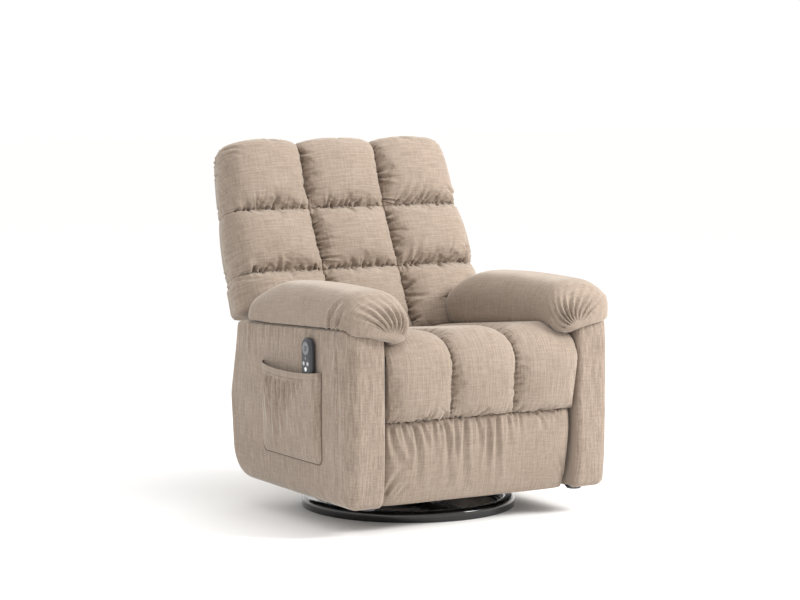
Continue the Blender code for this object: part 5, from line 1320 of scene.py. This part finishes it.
def arm_folds(forward, up, side):
    """Relief of the arm's face: puckers under the pad's seam, and one long soft fold up the face
    where the side panel is pulled round to the front."""
    below = arm_seam_height(forward) - 0.034 - up
    puckers = gathers(140 + side, [(-0.20, 0.33)], 0.024, 0.060, 0.0070, 0.0030, 0.15)
    height = gathered(forward, np.where(below > -0.04, np.maximum(below, 0), -1), puckers)
    long = [(0.326, 0.515, 0.330, 0.110, 0.005, 0.0120, 0.0062)]
    return height + folded(forward, up, long)


arms = {}
for word, side in (("left", 1), ("right", -1)):
    grid, lengths = arm_side(side)
    arms[word] = piece_of("arm_side_" + word, grid, cover_upright, wrapped=True, capped=True,
                          lengths=lengths)
    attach(arms[word], "chassis")
    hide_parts("arm_panel_" + word)
print("arm sides:", len(arms["left"].data.vertices), "vertices each")

# %% [markdown]
# ## Side pocket
# A flat pocket is sewn to the right arm at its sides and bottom. Its hem is cut a little too long,
# so it sags, stands open for the handset, and throws folds that fan down from its left half.

# %% Side pocket
POCKET = {"front": 0.250, "rear": -0.078, "low": 0.180, "high": 0.428, "sag": 0.010}
POCKET_WIDE, POCKET_TALL = POCKET["front"] - POCKET["rear"], POCKET["high"] - POCKET["low"]
POCKET_STEPS = (150, 110)
HEM_SEAM = 0.925
FOOT_DEEP, HEM_DEEPER, SHEET_WALL = 0.0088, 0.0136, 0.0018
HANDSET_ROOM = 0.0195
OUTMOST = 0.4478


def arm_face(forward, up):
    """How far across the right arm's face stands: its rim, and a low swell in the middle."""
    return ARM_FACE + FACE_SWELL[-1] * arm_bow(forward, up) ** 0.7


def pocket_folds(share, rise):
    """Relief of the pocket: folds that fall from the hem, each row giving its shares of the width
    and height at both ends, its bend, width and depth; and the hem's band, which stands proud
    above the groove of its seam."""
    wide, tall, top = POCKET_WIDE, POCKET_TALL, 0.90
    ends = ((0.05, 0.08, 0.40, 0.004, 0.0090, 0.0048), (0.12, 0.14, 0.62, 0.002, 0.0075, 0.0050),
            (0.19, 0.19, 0.22, 0.006, 0.0110, 0.0078), (0.27, 0.25, 0.62, -0.003, 0.0080, 0.0056),
            (0.35, 0.30, 0.10, 0.008, 0.0120, 0.0080), (0.42, 0.42, 0.64, 0.002, 0.0080, 0.0054),
            (0.50, 0.45, 0.34, 0.008, 0.0115, 0.0074), (0.57, 0.60, 0.68, 0.002, 0.0080, 0.0050),
            (0.65, 0.69, 0.72, 0.002, 0.0080, 0.0044), (0.73, 0.77, 0.78, 0.002, 0.0070, 0.0034))
    rows = [(a * wide, top * tall, c * wide, d * tall, bend, w, 1.35 * deep)
            for a, c, d, bend, w, deep in ends]
    folds = folded(share * wide, rise * tall, rows)
    groove = np.exp(-(((rise - HEM_SEAM) * tall / 0.0020) ** 2))
    return folds + (0.0016 * smooth((rise - HEM_SEAM) / 0.012) - 0.0022 * groove)


def side_pocket(across_steps, up_steps):
    """Grid of loops from the foot to the hem: each goes along the pocket's outer side and back along
    its inner side, one wall nearer the arm. The outer side stands off the arm by a depth that grows
    from foot to hem, times a squared circle's edge towards the sewn sides, and by no less than
    the handset needs in front of it."""
    share, rise = spread(across_steps), spread(up_steps)
    share, rise = np.append(share, 1)[None, :], np.append(rise, 1)[:, None]
    forward = POCKET["rear"] + (POCKET["front"] - POCKET["rear"]) * share
    to_side = np.clip(1 - np.minimum(share, 1 - share) * 16, 0, 1)
    corner = 0.020 * (1 - np.sqrt(np.clip(1 - to_side**2, 0, 1)))
    high = POCKET["high"] - POCKET["sag"] * 4 * share * (1 - share)
    up = POCKET["low"] + corner + (high - POCKET["low"] - corner) * rise
    edge = np.sqrt(np.clip(1 - np.abs(2 * share - 1) ** np.where(share < 0.5, 4, 14), 0, 1))
    foot = np.sqrt(np.clip(1 - (1 - np.clip(rise * 9, 0, 1)) ** 2, 0, 1))
    depth = (FOOT_DEEP + HEM_DEEPER * smooth(rise / 0.75)) * edge * foot
    wall = SHEET_WALL * np.sqrt(np.clip(1 - np.abs(2 * rise - 1) ** 24, 0.02, 1))
    relief = pocket_folds(share, rise) * edge * foot
    base = arm_face(forward, up) + 0.0004
    round_handset = smooth((share - 0.70) / 0.05) * smooth((0.985 - share) / 0.03)
    kept = HANDSET_ROOM * round_handset * smooth((rise - 0.62) / 0.06)
    outer = base + np.maximum(np.maximum(depth + relief, kept + wall), wall + 0.0002)
    outer = np.minimum(outer, OUTMOST)
    loops = [world(-x, forward, up) for x in (outer, outer - wall)]
    return np.concatenate([loops[0][:, ::-1], loops[1]], axis=1)


def pocket_threads(columns, rows):
    """Cloth map of the pocket: its width out and back, and its height."""
    share, rise = np.append(spread(columns), 1), np.append(spread(rows), 1)
    share = np.concatenate([share[::-1], share, share[-1:]]) * POCKET_WIDE
    return np.broadcast_arrays(share[None], rise[:, None] * POCKET_TALL)


pocket = piece_of("side_pocket_sheet", side_pocket(*POCKET_STEPS), cover_upright, wrapped=True,
                  capped=True, lengths=pocket_threads(*POCKET_STEPS))
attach(pocket, "chassis")
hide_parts("side_pocket")
print(pocket.name, len(pocket.data.vertices), "vertices")


# %% Pocket seam and its painted shadow
def thread_along(path, radius):
    """A thin round thread along a path on the arm's face: at each point a small circle square to it."""
    way = np.gradient(path, axis=0)
    way /= np.linalg.norm(way, axis=1, keepdims=True)
    out = np.broadcast_to((-1.0, 0.0, 0.0), way.shape)
    aside = np.cross(way, out)
    a = np.linspace(0, 2 * np.pi, 10, endpoint=False)[:, None]
    return path[:, None] + radius * (np.cos(a) * out[:, None] + np.sin(a) * aside[:, None])


def pocket_edge():
    """The pocket's three sewn edges as one path, a millimetre outside the sheet."""
    t = np.linspace(0, 1, 60)
    rear, front, low, high = (POCKET[k] for k in ("rear", "front", "low", "high"))
    down = np.stack([np.full(60, rear - 0.001), high - (high - low - 0.02) * t], 1)
    turn = np.pi + t * np.pi / 2
    first = np.stack([rear + 0.019 + 0.020 * np.cos(turn), low + 0.019 + 0.020 * np.sin(turn)], 1)
    over = np.stack([rear + 0.02 + (front - rear - 0.04) * t, np.full(60, low - 0.001)], 1)
    turn = 1.5 * np.pi + t * np.pi / 2
    last = np.stack([front - 0.019 + 0.020 * np.cos(turn), low + 0.019 + 0.020 * np.sin(turn)], 1)
    up = np.stack([np.full(60, front + 0.001), low + 0.02 + (high - low - 0.02) * t], 1)
    path = np.concatenate([down[:-1], first[:-1], over[:-1], last[:-1], up])
    return world(-arm_face(path[:, 0], path[:, 1]) - 0.0006, path[:, 0], path[:, 1])


# A thin thread along the seam, coloured dark brown and far darker than the cover, so that it paints the
# shadow in the groove of the pocket's seam.
seam_shadow_thread = grained_plastic("seam_shadow_thread", (0.115, 0.085, 0.062), 0.8)
seam_shadow_piece = piece_of("pocket_seam_shadow", thread_along(pocket_edge(), 0.0013), seam_shadow_thread,
                     wrapped=True, capped=True)
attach(seam_shadow_piece, "chassis")
print(seam_shadow_piece.name, len(seam_shadow_piece.data.vertices), "vertices")

# %% [markdown]
# ## Rear apron
# Between the arms at the rear a plain covered panel curves under the seat, with the inlet for the
# supply lead in it.


# %% Rear apron
def rear_apron(steps):
    """Side view of the panel carried across: straight down from its top, then an arc under the
    chair, and back along the inside one board's thickness nearer the middle."""
    outer, radius, top, bend_at, thick, half = -0.2617, 0.115, 0.312, 0.226, 0.011, 0.3055
    middle = np.array((outer + radius, 0.220))
    turn = np.linspace(np.pi, np.pi * 1.38, 30)
    wall = np.stack([np.full(20, outer), np.linspace(top - 0.002, bend_at, 20)], 1)
    arc = middle + radius * np.stack([np.cos(turn), np.sin(turn)], 1)
    inner = middle + (radius - thick) * np.stack([np.cos(turn[::-1]), np.sin(turn[::-1])], 1)
    back = np.stack([np.full(20, outer + thick), np.linspace(bend_at, top - 0.002, 20)], 1)
    cap = np.array([(outer + thick * 0.8, top - 0.0003), (outer + thick * 0.2, top - 0.0003)])
    line = np.concatenate([wall, arc, inner, back, cap])
    across = np.linspace(-half, half, steps)
    return world(across[:, None], line[:, 0], line[:, 1])


apron = piece_of("rear_apron_panel", rear_apron(60), cover_upright, wrapped=True, capped=True)
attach(apron, "chassis")
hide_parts("rear_apron")
print(apron.name, len(apron.data.vertices), "vertices")

# %% [markdown]
# ## Handset and keys
# The handset is a slim moulded shell with a full round top, parked in the pocket. One round pad
# steers the massage, and small keys below it run the motors. Each key is its own domed cap, because
# each one presses by itself.

# %% Handset
HANDSET_MIDDLE, HANDSET_WIDE, HANDSET_LONG, HANDSET_TOP = 0.197, 0.054, 0.170, 0.518
HANDSET = np.array([(0.170, 0.348), (0.224, 0.348), (0.224, HANDSET_TOP), (0.170, HANDSET_TOP)])
HANDSET_ROUNDS = np.array((0.0149, 0.0149, 0.0256, 0.0256))


def handset_shell():
    """Stack of rounded loops out from the arm: a narrow foot, full sides, and a face that rounds in
    and then runs flat to the middle, with a shallow groove round the keys' field."""
    off = np.array((0.0005, 0.0012, 0.0028, 0.0050, 0.0100, 0.0128, 0.0145, 0.0154, 0.0158))
    inset = np.array((0.0050, 0.0028, 0.0010, 0.0, 0.0, 0.0008, 0.0024, 0.0042, 0.0056))
    groove = np.array(((0.0158, 0.0066), (0.0153, 0.0070), (0.0153, 0.0076), (0.0157, 0.0080),
                       (0.0157, 0.0130), (0.0157, 0.0190), (0.0157, 0.0245)))
    off, inset = np.append(off, groove[:, 0]), np.append(inset, groove[:, 1])
    loops = np.stack([rounded_loop(HANDSET, HANDSET_ROUNDS, by, (14, 34, 2, 34), 0.0008) for by in inset])
    return world(-(ARM_OUT + off)[:, None], loops[..., 0], loops[..., 1])


shell = piece_of("handset_shell", handset_shell(), looks["black_plastic"], wrapped=True, capped=True)
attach(shell, "handset")
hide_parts("handset_back", "handset_face")
print(shell.name, len(shell.data.vertices), "vertices")


# %% Keys
KEYS = {"key_centre": (0.0, 0.17, 0.130), "key_heat": (0.0, 0.325, 0.085),
        "key_back_up": (-0.2, 0.41, 0.105), "key_back_down": (0.2, 0.41, 0.105),
        "key_power": (0.0, 0.50, 0.115), "key_foot_up": (-0.26, 0.60, 0.095),
        "key_foot_down": (0.26, 0.60, 0.095), "key_mode": (0.0, 0.65, 0.095),
        "key_pad": (0.0, 0.17, 0.330)}
key_rubber = grained_plastic("key_rubber", (0.085, 0.088, 0.095), 0.45)
pale_key = grained_plastic("pale_key", (0.42, 0.43, 0.45), 0.4)
pad_rubber = grained_plastic("pad_rubber", (0.15, 0.155, 0.165), 0.3)
KEY_FINISH = {"key_power": looks["key_white"], "key_pad": pad_rubber, "key_heat": pad_rubber,
              "key_centre": key_rubber, **dict.fromkeys(("key_foot_up", "key_foot_down", "key_mode",
                                                         "key_back_up", "key_back_down"), pale_key)}
KEY_FOOT, KEY_FACE, KEY_DOME = 0.0150, 0.0163, 0.0010


def key_cap(name):
    """A turned cap: radii and heights of its profile, swept round the key's centre. The round pad
    is a closed ring about its centre key, and the other caps are low domes. The table gives each
    key's place and radius as shares of the handset's width, and its place down as one of its length."""
    over, down, radius = KEYS[name]
    forward, up = HANDSET_MIDDLE + over * HANDSET_WIDE, HANDSET_TOP - down * HANDSET_LONG
    radius = radius * HANDSET_WIDE - 0.0002
    bore = KEYS["key_centre"][2] * HANDSET_WIDE + 0.0003
    if name == "key_pad":
        mid, half = (radius + bore) / 2, (radius - bore) / 2
        turn = np.linspace(0, 2 * np.pi, 28, endpoint=False)
        turned = mid + half * np.sign(np.cos(turn)) * np.abs(np.cos(turn)) ** 0.7
        out = KEY_FACE + KEY_DOME * np.sign(np.sin(turn)) * np.abs(np.sin(turn)) ** 0.7
    else:
        turn = np.linspace(0, np.pi / 2, 12)[:-1]
        turned = np.concatenate([[radius, radius], radius * np.cos(turn[1:]) ** 0.5])
        out = np.concatenate([[KEY_FOOT, KEY_FACE], KEY_FACE + KEY_DOME * np.sin(turn[1:]) ** 0.8])
    spin = np.linspace(0, 2 * np.pi, 48, endpoint=False)
    return world(-(ARM_OUT + out)[:, None], forward + turned[:, None] * np.cos(spin),
                 up + turned[:, None] * np.sin(spin))


for name in KEYS:
    is_ring = name == "key_pad"
    key_piece = piece_of(name + "_cap", key_cap(name)[:, ::-1 if is_ring else 1], KEY_FINISH[name],
                         wrapped=True, capped=not is_ring, looped=is_ring)
    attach(key_piece, name)
    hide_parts(name)
print("keys:", len(KEYS))

# %% [markdown]
# ## Swivel ring
# The chair turns on a pressed steel ring that lies flat on the floor: a rounded rim with a low lip
# inside. Its smooth gloss paint shows long reflections, so it needs many more facets than the frame's.


# %% Swivel ring
RING_OUT, RING_IN, RING_HIGH, RING_EDGE = 0.302, 0.266, 0.030, 0.012


def swivel_ring(around):
    """Section of the ring, as radius and height round a closed line, swept about the axis."""
    bend = np.linspace(0, np.pi / 2, 10)
    c, s = RING_EDGE * np.cos(bend), RING_EDGE * np.sin(bend)
    foot = np.array([(0.2545, 0.0003), (0.3000, 0.0003), (0.3015, 0.0010), (RING_OUT, 0.0025)])
    rim = np.stack([RING_OUT - RING_EDGE + c, RING_HIGH - RING_EDGE + s], 1)
    inner = np.stack([RING_IN + RING_EDGE - s, RING_HIGH - RING_EDGE + c], 1)
    lip = np.array([(0.2662, 0.0105), (0.2655, 0.0093), (0.2645, 0.0089), (0.2555, 0.0089),
                    (0.2545, 0.0080)])
    line = np.concatenate([foot, rim, inner, lip])
    spin = np.linspace(0, 2 * np.pi, around, endpoint=False)
    radius, up = line[:, 0][:, None], line[:, 1][:, None]
    return world(radius * np.cos(spin), radius * np.sin(spin), up)


ring = piece_of("swivel_ring", swivel_ring(240), looks["black_paint"], wrapped=True, looped=True)
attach(ring, "base")
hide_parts("base_ring")
print(ring.name, len(ring.data.vertices), "vertices")
